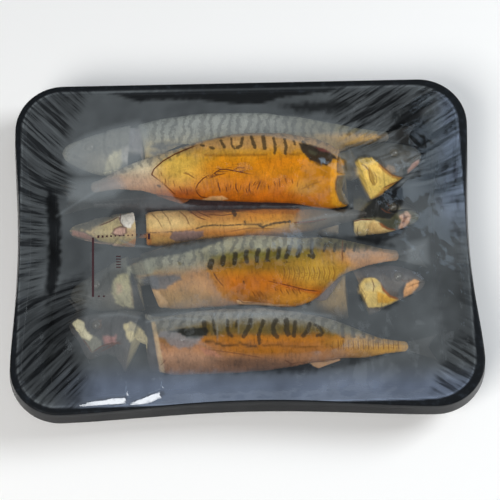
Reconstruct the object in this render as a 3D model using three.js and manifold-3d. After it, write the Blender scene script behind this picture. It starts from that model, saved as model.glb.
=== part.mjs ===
// A sealed pack of whole hot-smoked mackerel: a black formed tray with a flange and a skirt,
// seven fish laid head to tail in it, and a clear film drawn tight over them.
// Millimetres, +Z up, +X along the tray, +Y to the side that the fishes' backs face.
// The origin is the middle of the tray's base.
import * as THREE from "three";
import { mergeVertices } from "three/addons/utils/BufferGeometryUtils.js";
import Module from "manifold-3d";

const wasm = await Module();
wasm.setup();

// ---- Driving sizes -------------------------------------------------------------------------

const TRAY_LENGTH = 400;
const TRAY_WIDTH = 300;
const RIM_HEIGHT = 50;
const CORNER_RADIUS = 42;
const WALL = 0.9;
const FLANGE_WIDTH = 9;
const SKIRT_DROP = 20;
const SKIRT_FLARE = 2.5;
const FLOOR_INSET = 29;
const RIM_ROUND = 1.6;
const FLOOR_ROUND = 6;

// How far the drawn film pulls the middle of each side in.
const BOW = { right: 7.5, far: 0, left: 6, near: 8 };
const FLOOR_BOW_SHARE = 0.4;

const FILM_THICKNESS = 0.4;
const FILM_EDGE_INSET = 0.8;
const FILM_SAG = 0.006;
const GAP = 0.3;

const FISH_DEPTH = 62;
const FISH_THICKNESS = 31;
const SECTION_POWER = 2.4;

// ---- Closed lofts and solids ---------------------------------------------------------------

// A closed surface through rings of equally many points. Each ring runs anticlockwise as seen
// from the end that the rings advance to, and a fan to its middle closes each end.
function loftRings(rings) {
  const around = rings[0].length;
  const positions = rings.flat().flatMap((p) => [p.x, p.y, p.z]);
  const index = [];
  for (let k = 0; k + 1 < rings.length; k++) {
    for (let i = 0; i < around; i++) {
      const next = (i + 1) % around;
      const low = k * around;
      const high = low + around;
      index.push(low + i, low + next, high + next);
      index.push(low + i, high + next, high + i);
    }
  }
  const addCap = (ring, first, facesBack) => {
    const middle = ring.reduce((sum, p) => sum.add(p), new THREE.Vector3());
    middle.divideScalar(around);
    const centre = positions.length / 3;
    positions.push(middle.x, middle.y, middle.z);
    for (let i = 0; i < around; i++) {
      const next = (i + 1) % around;
      index.push(centre, first + (facesBack ? next : i), first + (facesBack ? i : next));
    }
  };
  addCap(rings[0], 0, true);
  addCap(rings.at(-1), (rings.length - 1) * around, false);
  return new THREE.BufferGeometry()
    .setAttribute("position", new THREE.Float32BufferAttribute(positions, 3))
    .setIndex(index);
}

function toSolid(geometry) {
  const bare = geometry.clone();
  bare.deleteAttribute("normal");
  bare.deleteAttribute("uv");
  const merged = mergeVertices(bare, 1e-4);
  const vertProperties = new Float32Array(merged.attributes.position.array);
  const triVerts = new Uint32Array(merged.index.array);
  return new wasm.Manifold(new wasm.Mesh({ numProp: 3, vertProperties, triVerts }));
}

function toGeometry(solid) {
  const mesh = solid.getMesh();
  return new THREE.BufferGeometry()
    .setAttribute("position", new THREE.BufferAttribute(mesh.vertProperties, 3))
    .setIndex(new THREE.BufferAttribute(mesh.triVerts, 1));
}

// Cubic interpolation through rows of [place, value, value, ...] in rising order of place.
function valuesAt(rows, place) {
  const last = rows.length - 2;
  let k = 0;
  while (k < last && place > rows[k + 1][0]) k++;
  const [before, from, to, after] = [k - 1, k, k + 1, k + 2].map(
    (i) => rows[THREE.MathUtils.clamp(i, 0, rows.length - 1)],
  );
  const span = to[0] - from[0];
  const t = (place - from[0]) / span;
  return from.slice(1).map((value, j) => {
    const slopeFrom = (span * (to[j + 1] - before[j + 1])) / (to[0] - before[0]);
    const slopeTo = (span * (after[j + 1] - value)) / (after[0] - from[0]);
    const rise = to[j + 1] - value;
    const curve = slopeFrom * (1 - t) - slopeTo * t + rise * (2 * t - 1);
    return value + rise * t + t * (1 - t) * curve;
  });
}

// ---- The tray ------------------------------------------------------------------------------

const CORNER_STEPS = 7;
const LONG_STEPS = 11;
const SHORT_STEPS = 7;
const LEAST_RADIUS = 4;

// The four sides in anticlockwise order, each with the corner that it runs up to.
const SIDES = [
  { bow: BOW.right, corner: [1, 1], steps: SHORT_STEPS, inward: [-1, 0] },
  { bow: BOW.far, corner: [-1, 1], steps: LONG_STEPS, inward: [0, -1] },
  { bow: BOW.left, corner: [-1, -1], steps: SHORT_STEPS, inward: [1, 0] },
  { bow: BOW.near, corner: [1, -1], steps: LONG_STEPS, inward: [0, 1] },
];

// The tray's rounded outline, moved in by inset and set at one height.
// bowShare says how much of the sides' inward bow it has.
function outline(inset, height, bowShare = 1) {
  const radius = Math.max(CORNER_RADIUS - inset, LEAST_RADIUS);
  const centreX = TRAY_LENGTH / 2 - inset - radius;
  const centreY = TRAY_WIDTH / 2 - inset - radius;
  const points = [];
  SIDES.forEach(({ bow, corner, steps, inward }, side) => {
    const before = SIDES[(side + 3) % 4].corner;
    const turn = (side * Math.PI) / 2;
    const out = [-radius * inward[0], -radius * inward[1]];
    for (let i = 1; i < steps; i++) {
      const t = i / steps;
      const pull = bow * bowShare * Math.sin(Math.PI * t) ** 1.5;
      const x = centreX * THREE.MathUtils.lerp(before[0], corner[0], t) + out[0] + pull * inward[0];
      const y = centreY * THREE.MathUtils.lerp(before[1], corner[1], t) + out[1] + pull * inward[1];
      points.push(new THREE.Vector3(x, y, height));
    }
    for (let i = 0; i <= CORNER_STEPS; i++) {
      const angle = turn + ((i / CORNER_STEPS) * Math.PI) / 2;
      const x = centreX * corner[0] + radius * Math.cos(angle);
      const y = centreY * corner[1] + radius * Math.sin(angle);
      points.push(new THREE.Vector3(x, y, height));
    }
  });
  return points;
}

// The tray's section runs from the underside of the base, up the outside, over the flange and
// down the inside to the floor. wallInset is the wall's place at a height.
function wallInset(height) {
  const share = (height - WALL) / (RIM_HEIGHT - WALL);
  return THREE.MathUtils.lerp(FLOOR_INSET, FLANGE_WIDTH + RIM_ROUND, share);
}

const bowAt = (height) =>
  THREE.MathUtils.lerp(FLOOR_BOW_SHARE, 1, THREE.MathUtils.clamp(height / RIM_HEIGHT, 0, 1));

function trayGeometry() {
  const floor = FLOOR_INSET + FLOOR_ROUND;
  const top = RIM_HEIGHT;
  const skirtFoot = top - SKIRT_DROP;
  const rows = [
    [floor, 0],
    [wallInset(0) + WALL, 0.8],
    [wallInset(FLOOR_ROUND) - WALL, FLOOR_ROUND],
    [wallInset(top - 4) - WALL, top - 4],
    [FLANGE_WIDTH - WALL, top - WALL],
    [RIM_ROUND + 0.5, top - WALL],
    [WALL, top - RIM_ROUND - 0.6],
    [WALL - SKIRT_FLARE, skirtFoot],
    [-SKIRT_FLARE, skirtFoot],
    [0, top - RIM_ROUND],
    [0.4, top - 0.5],
    [RIM_ROUND, top],
    [FLANGE_WIDTH, top],
    [FLANGE_WIDTH + RIM_ROUND, top - RIM_ROUND],
    [wallInset(FLOOR_ROUND), FLOOR_ROUND],
    [wallInset(WALL) + FLOOR_ROUND / 3, WALL + 0.9],
    [floor, WALL],
  ];
  return loftRings(rows.map(([inset, height]) => outline(inset, height, bowAt(height))));
}

// ---- The mackerel --------------------------------------------------------------------------

// Each row: place from snout (0) to tail root (1), then the share of the full depth, the share
// of the full thickness, and how far the section is set towards the back, in depths.
const HEAD_FORM = [
  [0, 0.12, 0.16, 0],
  [0.02, 0.28, 0.34, 0],
  [0.08, 0.54, 0.64, 0],
  [0.14, 0.7, 0.84, 0],
  [0.2, 0.79, 0.93, 0],
];
const BODY_FORM = [
  [0.24, 0.8, 0.9, 0],
  [0.3, 0.91, 0.98, 0],
  [0.38, 0.98, 1, 0],
  [0.48, 1, 1, 0],
  [0.6, 0.94, 0.95, 0],
  [0.74, 0.7, 0.74, 0],
  [0.87, 0.38, 0.42, 0],
  [0.95, 0.2, 0.24, 0],
  [1, 0.15, 0.14, 0],
];
// The gills are out, so only the spine and the throat's back joins head and body.
const NECK = { from: 0.205, to: 0.235, depth: 0.42, thickness: 0.5, towardsBack: 0.16 };
const HEAD_STATIONS = [0, 0.012, 0.035, 0.065, 0.1, 0.14, 0.18, 0.2];
const BODY_STATIONS = [0.24, 0.248, 0.28, 0.34, 0.41, 0.48, 0.55, 0.62, 0.69, 0.76, 0.83, 0.9, 1];
// The way along the fish that each end and each edge of the gill opening faces.
const END_FACES = new Map([[0, -1], [0.2, 1], [NECK.from, 1], [NECK.to, -1], [0.24, -1], [1, 1]]);
const SECTION_STEPS = 16;
const BELLY_THINNING = 0.3;

// Rows of [x, y, z] run from the snout to the tail root. roll turns the back up from +Y.
// headCut and bodyCut slant the two edges at the gill opening: how far the belly end of each
// lies towards the tail from its middle. hollow draws the middle of the body's edge towards the
// tail, and gape moves the head's edge towards the snout. Each of bulges, [place, spread, drop],
// lowers the belly's edge round one place. cutBy names the fish that lie on this one.
const FISH = [
  {
    name: "mackerel_1",
    spine: [[-161, 97, 22], [-125, 95, 22], [-68, 100, 20], [0, 103, 19], [75, 106, 20], [133, 107, 21]],
    roll: 12,
    size: 0.95,
    headCut: -4,
    bodyCut: 1,
    hollow: 2,
    cutBy: ["mackerel_2"],
    colour: 0x8f8c7c,
  },
  {
    name: "mackerel_2",
    spine: [
      [158, 80, 42], [126, 71, 43.5], [104, 62, 44], [80, 58, 44.5], [48, 67, 44.5],
      [0, 70, 44.5], [-59, 66, 43.5], [-97, 65, 40], [-134, 57, 36],
    ],
    roll: 4,
    size: 1.02,
    headCut: -7,
    bodyCut: 1,
    hollow: 8,
    gape: 6,
    cutBy: [],
    colour: 0xd08a24,
  },
  {
    name: "mackerel_3",
    spine: [[-152, 17, 35], [-120, 18, 33], [-87, 20, 29], [-30, 20, 29], [20, 22, 30], [70, 26, 31], [122, 32, 28]],
    roll: -66,
    size: 0.84,
    headCut: 0,
    bodyCut: 0,
    hollow: 0,
    cutBy: ["mackerel_2", "mackerel_5"],
    colour: 0xc08a3c,
  },
  {
    name: "mackerel_4",
    spine: [[156, 30, 21], [122, 33, 21], [88, 38, 20], [40, 43, 19], [-20, 46, 18], [-80, 49, 18], [-135, 50, 18]],
    roll: 10,
    size: 0.92,
    headCut: -3,
    bodyCut: 0,
    hollow: 1,
    cutBy: ["mackerel_2", "mackerel_3", "mackerel_5"],
    colour: 0x9a8a5c,
  },
  {
    name: "mackerel_5",
    spine: [
      [-151, -42, 35], [-122, -39, 37], [-90, -33, 41], [-52, -29, 44], [-5, -25, 44.5],
      [40, -22, 44.5], [76, -14, 42], [105, -12, 38], [134, -11, 33],
    ],
    roll: 5,
    size: 0.97,
    headCut: 2.5,
    bodyCut: 8.5,
    hollow: 0,
    bulges: [[0.68, 0.1, 11]],
    cutBy: [],
    colour: 0xc0892e,
  },
  {
    name: "mackerel_6",
    spine: [[157, -32, 21], [128, -33, 21], [98, -39, 20], [50, -44, 19], [0, -47, 18], [-60, -50, 18], [-130, -50, 18]],
    roll: 10,
    size: 0.88,
    headCut: -4,
    bodyCut: 2,
    hollow: 2,
    cutBy: ["mackerel_5", "mackerel_7"],
    colour: 0xa88a50,
  },
  {
    name: "mackerel_7",
    spine: [
      [-152, -67, 32], [-128, -73, 34], [-100, -79, 36], [-75, -88, 38], [-30, -87, 39],
      [39, -86, 39], [73, -87.5, 37], [105, -92, 33], [138, -92, 28],
    ],
    roll: 14,
    size: 0.88,
    headCut: 1,
    bodyCut: 6.5,
    hollow: 0,
    bulges: [[0.075, 0.03, 11], [0.2, 0.03, 8]],
    mouthOpens: true,
    cutBy: [],
    colour: 0xb8823a,
  },
];

// The fish's own axes at a place along it: along the body, towards the back, and to its side.
function fishAxes(fish, curve, place) {
  const at = THREE.MathUtils.clamp(place, 0, 1);
  const centre = curve.getPointAt(at);
  const along = curve.getTangentAt(at);
  const across = new THREE.Vector3(0, 0, Math.sign(along.x)).cross(along).normalize();
  const lift = new THREE.Vector3().crossVectors(along, across).multiplyScalar(Math.sign(along.x));
  const roll = THREE.MathUtils.degToRad(fish.roll);
  const back = across.multiplyScalar(Math.cos(roll)).addScaledVector(lift, Math.sin(roll));
  const side = new THREE.Vector3().crossVectors(along, back);
  return { centre, along, back, side };
}

// The half depth towards the back, the half depth towards the belly and the half thickness.
function sectionSize(fish, place) {
  const onHead = place <= HEAD_FORM.at(-1)[0];
  const inNeck = place > HEAD_FORM.at(-1)[0] && place < BODY_FORM[0][0];
  const [depthShare, thicknessShare, setBack] = inNeck
    ? [NECK.depth, NECK.thickness, NECK.towardsBack]
    : valuesAt(onHead ? HEAD_FORM : BODY_FORM, place);
  const depth = FISH_DEPTH * fish.size;
  const dropOf = ([at, spread, drop]) => drop * Math.exp(-(((place - at) / spread) ** 2));
  const bulges = inNeck || (!onHead && place < 0.3) ? [] : (fish.bulges ?? []);
  const bellyDrop = bulges.reduce((sum, bulge) => sum + dropOf(bulge), 0);
  return {
    towardsBack: depth * (depthShare / 2 + setBack),
    towardsBelly: depth * (depthShare / 2 - setBack) + bellyDrop,
    halfThickness: (FISH_THICKNESS * thicknessShare) / 2,
  };
}

// How far a point of a section is moved along the fish by the slanted cuts at the gill opening.
function cutShift(fish, place, height) {
  const headSide = THREE.MathUtils.smoothstep(place, 0.14, 0.2);
  const bodySide = 1 - THREE.MathUtils.smoothstep(place, 0.24, 0.33);
  const gape = fish.gape ?? 0;
  if (place <= HEAD_FORM.at(-1)[0]) return -headSide * (height * fish.headCut + gape);
  if (place < BODY_FORM[0][0]) return (-height * (fish.headCut + fish.bodyCut)) / 2;
  return bodySide * (-height * fish.bodyCut + fish.hollow * (1 - height ** 2));
}

const signedPower = (value, power) => Math.sign(value) * Math.abs(value) ** power;

// One section of a fish, made larger all round by grow.
function sectionRing(fish, curve, place, grow) {
  const { centre, along, back, side } = fishAxes(fish, curve, place);
  const size = sectionSize(fish, place);
  const ring = [];
  for (let i = 0; i < SECTION_STEPS; i++) {
    const angle = (i / SECTION_STEPS) * 2 * Math.PI;
    const height = signedPower(Math.cos(angle), 2 / SECTION_POWER);
    const width = signedPower(Math.sin(angle), 2 / SECTION_POWER);
    const depth = (height > 0 ? size.towardsBack : size.towardsBelly) + grow;
    const thinning = 1 - BELLY_THINNING * Math.max(-height, 0) ** 2;
    const point = centre
      .clone()
      .addScaledVector(back, height * depth)
      .addScaledVector(side, width * (size.halfThickness * thinning + grow))
      .addScaledVector(along, cutShift(fish, place, height) + grow * (END_FACES.get(place) ?? 0));
    ring.push(point);
  }
  return ring;
}

function fishCurve(fish) {
  const points = fish.spine.map((p) => new THREE.Vector3(...p));
  return new THREE.CatmullRomCurve3(points, false, "centripetal");
}

function bodyGeometry(fish, grow) {
  const curve = fishCurve(fish);
  const stations = [...HEAD_STATIONS, NECK.from, NECK.to, ...BODY_STATIONS];
  return loftRings(stations.map((place) => sectionRing(fish, curve, place, grow)));
}

// A thin fin cut from a flat outline in the fish's own plane. The outline's x runs towards the
// tail from the fin's place, and its y towards the back from the fish's middle line.
function finGeometry(fish, place, points, thickness) {
  const shape = new THREE.Shape(points.map(([x, y]) => new THREE.Vector2(x, y)));
  const fin = new THREE.ExtrudeGeometry(shape, { depth: thickness, bevelEnabled: false });
  const { centre, along, back, side } = fishAxes(fish, fishCurve(fish), place);
  const frame = new THREE.Matrix4().makeBasis(along, back, side).setPosition(centre);
  return fin.translate(0, 0, -thickness / 2).applyMatrix4(frame);
}

const TAIL_FIN = {
  thickness: 2.2,
  outline: [[-9, -3], [4, -4], [26, -11], [18, -2], [18, 2], [26, 11], [4, 4], [-9, 3]],
};
const ANAL_FIN = { place: 0.7, thickness: 1.6, length: 27, height: 4.5 };
const DORSAL_FIN = { place: 0.68, thickness: 1.6, length: 24, height: 2 };
const FIN_ROOT_DEPTH = 7;
const EYE = { place: 0.085, radius: 4.6, towardsBack: 0.16 };
const MOUTH = { depth: 15, top: -1, bottom: -9, width: 60 };

// A low fin on the back (direction 1) or the belly (direction -1), from the body's edge there.
function rearFinOutline(edge, { length, height }, direction) {
  const root = direction * (edge - FIN_ROOT_DEPTH);
  const tip = direction * (edge + height);
  return [[-2, root], [length, root], [length * 0.3, tip]];
}

function eyeGeometry(fish, sideSign, grow) {
  const { centre, back, side } = fishAxes(fish, fishCurve(fish), EYE.place);
  const size = sectionSize(fish, EYE.place);
  const middle = centre
    .addScaledVector(back, EYE.towardsBack * FISH_DEPTH * fish.size * 0.5)
    .addScaledVector(side, sideSign * (size.halfThickness - EYE.radius * 0.62));
  return new THREE.SphereGeometry(EYE.radius + grow, 8, 6).translate(middle.x, middle.y, middle.z);
}

// The wedge between the jaws of a fish whose mouth stands open.
function mouthWedge(fish) {
  const points = [[-8, MOUTH.bottom], [MOUTH.depth, MOUTH.bottom], [-8, MOUTH.top]];
  return finGeometry(fish, 0, points, MOUTH.width);
}

function mackerelSolid(fish, grow = 0) {
  let solid = toSolid(bodyGeometry(fish, grow));
  const add = (geometry) => {
    solid = solid.add(toSolid(geometry));
  };
  add(finGeometry(fish, 1, TAIL_FIN.outline, TAIL_FIN.thickness + 2 * grow));
  const backEdge = sectionSize(fish, DORSAL_FIN.place).towardsBack;
  const bellyEdge = sectionSize(fish, ANAL_FIN.place).towardsBelly;
  const dorsal = rearFinOutline(backEdge, DORSAL_FIN, 1);
  const anal = rearFinOutline(bellyEdge, ANAL_FIN, -1);
  add(finGeometry(fish, DORSAL_FIN.place, dorsal, DORSAL_FIN.thickness + 2 * grow));
  add(finGeometry(fish, ANAL_FIN.place, anal, ANAL_FIN.thickness + 2 * grow));
  add(eyeGeometry(fish, 1, grow));
  add(eyeGeometry(fish, -1, grow));
  if (fish.mouthOpens && grow === 0) solid = solid.subtract(toSolid(mouthWedge(fish)));
  return solid;
}

// ---- The film ------------------------------------------------------------------------------

const CELL = 5;
const CELLS_X = TRAY_LENGTH / CELL;
const CELLS_Y = TRAY_WIDTH / CELL;
const RELAX_ROUNDS = 900;
const FILM_REST = RIM_HEIGHT + GAP;

const cellIndex = (i, j) => i + j * (CELLS_X + 1);

// The highest point of the fish over each knot of a square net across the tray.
function fishTops(geometries) {
  const tops = new Float64Array((CELLS_X + 1) * (CELLS_Y + 1)).fill(-Infinity);
  const toCell = (value, size) => (value + size / 2) / CELL;
  const a = new THREE.Vector3();
  const b = new THREE.Vector3();
  const c = new THREE.Vector3();
  const knot = new THREE.Vector3();
  const weights = new THREE.Vector3();
  for (const geometry of geometries) {
    const { position } = geometry.attributes;
    const corners = geometry.index.array;
    for (let t = 0; t < corners.length; t += 3) {
      a.fromBufferAttribute(position, corners[t]);
      b.fromBufferAttribute(position, corners[t + 1]);
      c.fromBufferAttribute(position, corners[t + 2]);
      const heights = new THREE.Vector3(a.z, b.z, c.z);
      [a, b, c].forEach((p) => p.setZ(0));
      const fromI = Math.ceil(toCell(Math.min(a.x, b.x, c.x), TRAY_LENGTH));
      const toI = Math.floor(toCell(Math.max(a.x, b.x, c.x), TRAY_LENGTH));
      const fromJ = Math.ceil(toCell(Math.min(a.y, b.y, c.y), TRAY_WIDTH));
      const toJ = Math.floor(toCell(Math.max(a.y, b.y, c.y), TRAY_WIDTH));
      for (let j = fromJ; j <= toJ; j++) {
        for (let i = fromI; i <= toI; i++) {
          knot.set(i * CELL - TRAY_LENGTH / 2, j * CELL - TRAY_WIDTH / 2, 0);
          const inside = THREE.Triangle.getBarycoord(knot, a, b, c, weights);
          if (!inside || Math.min(weights.x, weights.y, weights.z) < 0) continue;
          const at = cellIndex(i, j);
          tops[at] = Math.max(tops[at], weights.dot(heights));
        }
      }
    }
  }
  return tops;
}

// Whether a point lies inside the flange's inner edge, where the film hangs free.
function insideRim(x, y, inset) {
  const radius = CORNER_RADIUS - inset;
  const overX = Math.max(Math.abs(x) - (TRAY_LENGTH / 2 - inset - radius), 0);
  const overY = Math.max(Math.abs(y) - (TRAY_WIDTH / 2 - inset - radius), 0);
  return Math.hypot(overX, overY) < radius;
}

// The film's underside over the net: stretched level between the rim and the fish that hold it
// up, and drawn down a little between them by the air taken out of the pack.
function filmHeights(tops) {
  const heights = new Float64Array(tops.length).fill(FILM_REST);
  const free = [];
  for (let j = 1; j < CELLS_Y; j++) {
    for (let i = 1; i < CELLS_X; i++) {
      const x = i * CELL - TRAY_LENGTH / 2;
      const y = j * CELL - TRAY_WIDTH / 2;
      if (insideRim(x, y, FLANGE_WIDTH + BOW.near)) free.push(cellIndex(i, j));
    }
  }
  const row = CELLS_X + 1;
  for (let round = 0; round < RELAX_ROUNDS; round++) {
    for (const at of free) {
      const around = heights[at - 1] + heights[at + 1] + heights[at - row] + heights[at + row];
      heights[at] = Math.max(tops[at] + 2 * GAP, around / 4 - FILM_SAG);
    }
  }
  return heights;
}

function heightAt(heights, x, y) {
  const u = THREE.MathUtils.clamp((x + TRAY_LENGTH / 2) / CELL, 0, CELLS_X - 0.001);
  const v = THREE.MathUtils.clamp((y + TRAY_WIDTH / 2) / CELL, 0, CELLS_Y - 0.001);
  const i = Math.floor(u);
  const j = Math.floor(v);
  const { lerp } = THREE.MathUtils;
  const near = lerp(heights[cellIndex(i, j)], heights[cellIndex(i + 1, j)], u - i);
  const far = lerp(heights[cellIndex(i, j + 1)], heights[cellIndex(i + 1, j + 1)], u - i);
  return lerp(near, far, v - j);
}

// Rows of the film's net, at the y of each arc step in the corners and evenly between them.
const FILM_CORNER_ROWS = 5;
const FILM_MIDDLE_ROWS = 14;
const FILM_COLUMNS = 26;

function filmRowPlaces() {
  const reach = TRAY_WIDTH / 2 - FILM_EDGE_INSET;
  const radius = CORNER_RADIUS - FILM_EDGE_INSET;
  const straight = reach - radius;
  const rows = [];
  for (let k = 0; k <= FILM_CORNER_ROWS; k++) {
    const angle = ((k / FILM_CORNER_ROWS) * Math.PI) / 2;
    rows.push({ y: -straight - radius * Math.cos(angle), endIn: radius * (1 - Math.sin(angle)) });
  }
  for (let k = 1; k < FILM_MIDDLE_ROWS; k++) {
    rows.push({ y: straight * ((2 * k) / FILM_MIDDLE_ROWS - 1), endIn: 0 });
  }
  const mirrored = rows.slice(0, FILM_CORNER_ROWS + 1).reverse();
  return [...rows, ...mirrored.map(({ y, endIn }) => ({ y: -y, endIn }))];
}

const bowShape = (place, reach) => Math.max(Math.cos((place / reach) * (Math.PI / 2)), 0) ** 1.5;

// A closed sheet on the film's net, between two height functions of x and y.
function sheetGeometry(lower, upper) {
  const straightX = TRAY_LENGTH / 2 - CORNER_RADIUS;
  const straightY = TRAY_WIDTH / 2 - CORNER_RADIUS;
  const positions = [];
  const rows = filmRowPlaces();
  for (const level of [lower, upper]) {
    for (const { y, endIn } of rows) {
      const reach = TRAY_LENGTH / 2 - FILM_EDGE_INSET - endIn;
      const left = -reach + BOW.left * bowShape(y, straightY);
      const right = reach - BOW.right * bowShape(y, straightY);
      for (let i = 0; i <= FILM_COLUMNS; i++) {
        const x = THREE.MathUtils.lerp(left, right, i / FILM_COLUMNS);
        const nearness = THREE.MathUtils.clamp(-y / (TRAY_WIDTH / 2), 0, 1);
        const bowedY = y + BOW.near * nearness ** 2 * bowShape(x, straightX);
        positions.push(x, bowedY, level(x, bowedY));
      }
    }
  }
  const width = FILM_COLUMNS + 1;
  const layer = width * rows.length;
  const index = [];
  for (let j = 0; j + 1 < rows.length; j++) {
    for (let i = 0; i < FILM_COLUMNS; i++) {
      const at = i + j * width;
      index.push(at, at + width + 1, at + 1, at, at + width, at + width + 1);
      const up = at + layer;
      index.push(up, up + 1, up + width + 1, up, up + width + 1, up + width);
    }
  }
  const addWall = (from, to) => index.push(from, to, to + layer, from, to + layer, from + layer);
  for (let i = 0; i < FILM_COLUMNS; i++) {
    addWall(i, i + 1);
    addWall(layer - 1 - i, layer - 2 - i);
  }
  for (let j = 0; j + 1 < rows.length; j++) {
    addWall(FILM_COLUMNS + j * width, FILM_COLUMNS + (j + 1) * width);
    addWall((j + 1) * width, j * width);
  }
  return new THREE.BufferGeometry()
    .setAttribute("position", new THREE.Float32BufferAttribute(positions, 3))
    .setIndex(index);
}

// ---- The pack ------------------------------------------------------------------------------

// The room that the fish have: inside the tray's walls and under the film, with a small gap.
function packRoom(underside) {
  const rows = [
    [FLOOR_INSET + FLOOR_ROUND + GAP, WALL + GAP],
    [wallInset(WALL) + FLOOR_ROUND / 3 + GAP, WALL + 0.9 + GAP],
    [wallInset(FLOOR_ROUND) + GAP, FLOOR_ROUND + GAP],
    [FLANGE_WIDTH + RIM_ROUND + GAP, RIM_HEIGHT - RIM_ROUND],
    [FLANGE_WIDTH + RIM_ROUND + GAP, RIM_HEIGHT + FISH_THICKNESS],
  ];
  const hollow = loftRings(
    rows.map(([inset, height]) => outline(inset, height, bowAt(height))),
  );
  const below = sheetGeometry(
    () => -1,
    (x, y) => underside(x, y) - GAP,
  );
  return toSolid(hollow).intersect(toSolid(below));
}

function namedMesh(name, geometry, material) {
  const mesh = new THREE.Mesh(geometry, new THREE.MeshStandardMaterial(material));
  mesh.name = name;
  return mesh;
}

const pack = new THREE.Group();
pack.add(namedMesh("tray", trayGeometry(), { color: 0x15181b, roughness: 0.32, metalness: 0 }));

const whole = new Map(FISH.map((fish) => [fish.name, mackerelSolid(fish)]));
const heights = filmHeights(fishTops([...whole.values()].map(toGeometry)));
const underside = (x, y) => heightAt(heights, x, y);
const room = packRoom(underside);

for (const fish of FISH) {
  let solid = whole.get(fish.name).intersect(room);
  for (const name of fish.cutBy) {
    const above = FISH.find((other) => other.name === name);
    solid = solid.subtract(mackerelSolid(above, 1.2 * GAP));
  }
  const material = { color: fish.colour, roughness: 0.45, metalness: 0.1 };
  pack.add(namedMesh(fish.name, toGeometry(solid), material));
}

const filmGeometry = sheetGeometry(underside, (x, y) => underside(x, y) + FILM_THICKNESS);
pack.add(
  namedMesh("film", filmGeometry, {
    color: 0xa9b1b5,
    roughness: 0.25,
    metalness: 0,
    transparent: true,
    opacity: 0.35,
  }),
);

export default pack;
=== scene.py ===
"""A sealed pack of whole hot-smoked mackerel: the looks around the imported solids, in metres."""

import bmesh
import bpy
import numpy as np
from mathutils import Matrix


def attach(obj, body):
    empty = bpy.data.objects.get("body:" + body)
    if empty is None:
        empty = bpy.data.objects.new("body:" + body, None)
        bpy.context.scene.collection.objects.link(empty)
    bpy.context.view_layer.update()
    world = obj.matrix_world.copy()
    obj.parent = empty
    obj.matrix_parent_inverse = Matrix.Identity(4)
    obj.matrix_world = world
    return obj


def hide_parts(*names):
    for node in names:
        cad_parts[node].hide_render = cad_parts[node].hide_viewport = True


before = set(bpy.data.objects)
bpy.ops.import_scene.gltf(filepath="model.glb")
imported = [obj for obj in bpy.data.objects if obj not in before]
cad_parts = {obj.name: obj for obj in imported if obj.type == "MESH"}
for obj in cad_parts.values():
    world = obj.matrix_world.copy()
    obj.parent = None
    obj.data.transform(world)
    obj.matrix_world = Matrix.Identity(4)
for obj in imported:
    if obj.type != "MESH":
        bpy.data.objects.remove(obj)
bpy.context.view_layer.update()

# ---- The camera ----------------------------------------------------------------------------
# The photograph looks down on the pack from in front of its near long side, about 19 degrees
# off straight down. Marks on the fish and the film are placed by the photograph's pixels.
CAMERA_AT = np.array([-0.0196, -0.4641, 1.3493])
CAMERA_TURN = np.radians([19.33, -0.54, -1.37])
PHOTO_SIZE = 500
PHOTO_FOCAL = 1600
SENSOR_MM = 36

camera_axes = (
    Matrix.Rotation(CAMERA_TURN[2], 3, "Z")
    @ Matrix.Rotation(CAMERA_TURN[0], 3, "X")
    @ Matrix.Rotation(CAMERA_TURN[1], 3, "Y")
)
camera_data = bpy.data.cameras.new("camera")
camera_data.sensor_width = SENSOR_MM
camera_data.lens = PHOTO_FOCAL / PHOTO_SIZE * SENSOR_MM
camera = bpy.data.objects.new("camera", camera_data)
camera.matrix_world = Matrix.Translation(CAMERA_AT) @ camera_axes.to_4x4()
bpy.context.scene.collection.objects.link(camera)
bpy.context.scene.camera = camera


def in_photo(points):
    """The photograph's pixel at which each point of the pack shows."""
    local = (points - CAMERA_AT) @ np.array(camera_axes)
    across = PHOTO_SIZE / 2 - PHOTO_FOCAL * local[:, 0] / local[:, 2]
    down = PHOTO_SIZE / 2 + PHOTO_FOCAL * local[:, 1] / local[:, 2]
    return np.column_stack((across, down))


# ---- The tray ------------------------------------------------------------------------------
# A black plastic tray, drawn down from heated sheet into one deep bowl with a flat flange and
# an outer skirt. The film drawn over it has pulled the middles of its sides in a little.
TRAY_LENGTH = 0.400
TRAY_WIDTH = 0.300
RIM_HEIGHT = 0.050
CORNER_RADIUS = 0.042
WALL = 0.0009
FLANGE_WIDTH = 0.009
SKIRT_DROP = 0.020
SKIRT_FLARE = 0.0025
SKIRT_EDGE = 0.0002
SKIRT_TURN = 0.0006
SKIRT_FOOT = 0.0004
FLOOR_INSET = 0.029
RIM_ROUND = 0.0016
FLOOR_ROUND = 0.006
FLOOR_ROUND_WIDTH = 0.0045
BASE_ROUND = 0.001
BASE_CORNER = 0.0008
FLANGE_FLAT = (0.0005, 0.003, 0.002)
RIM_FALL = 0.00005
WALL_FROM, WALL_TO = 0.012, 0.046
BOW_POWER = 1.5
LEAST_RADIUS = 0.004
BOW = {"right": 0.0075, "far": 0.0, "left": 0.006, "near": 0.008}
FLOOR_BOW_SHARE = 0.4
SIDES = (
    (BOW["right"], (1, 1), 40, (-1, 0)),
    (BOW["far"], (-1, 1), 56, (0, -1)),
    (BOW["left"], (-1, -1), 40, (1, 0)),
    (BOW["near"], (1, -1), 56, (0, 1)),
)
CORNER_STEPS = 20
BLACK_PLASTIC = (0.010, 0.0115, 0.0135)
WORN_PLASTIC = (0.022, 0.027, 0.034)


def smooth_step(value, low, high):
    share = np.clip((value - low) / (high - low), 0, 1)
    return share * share * (3 - 2 * share)


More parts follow.
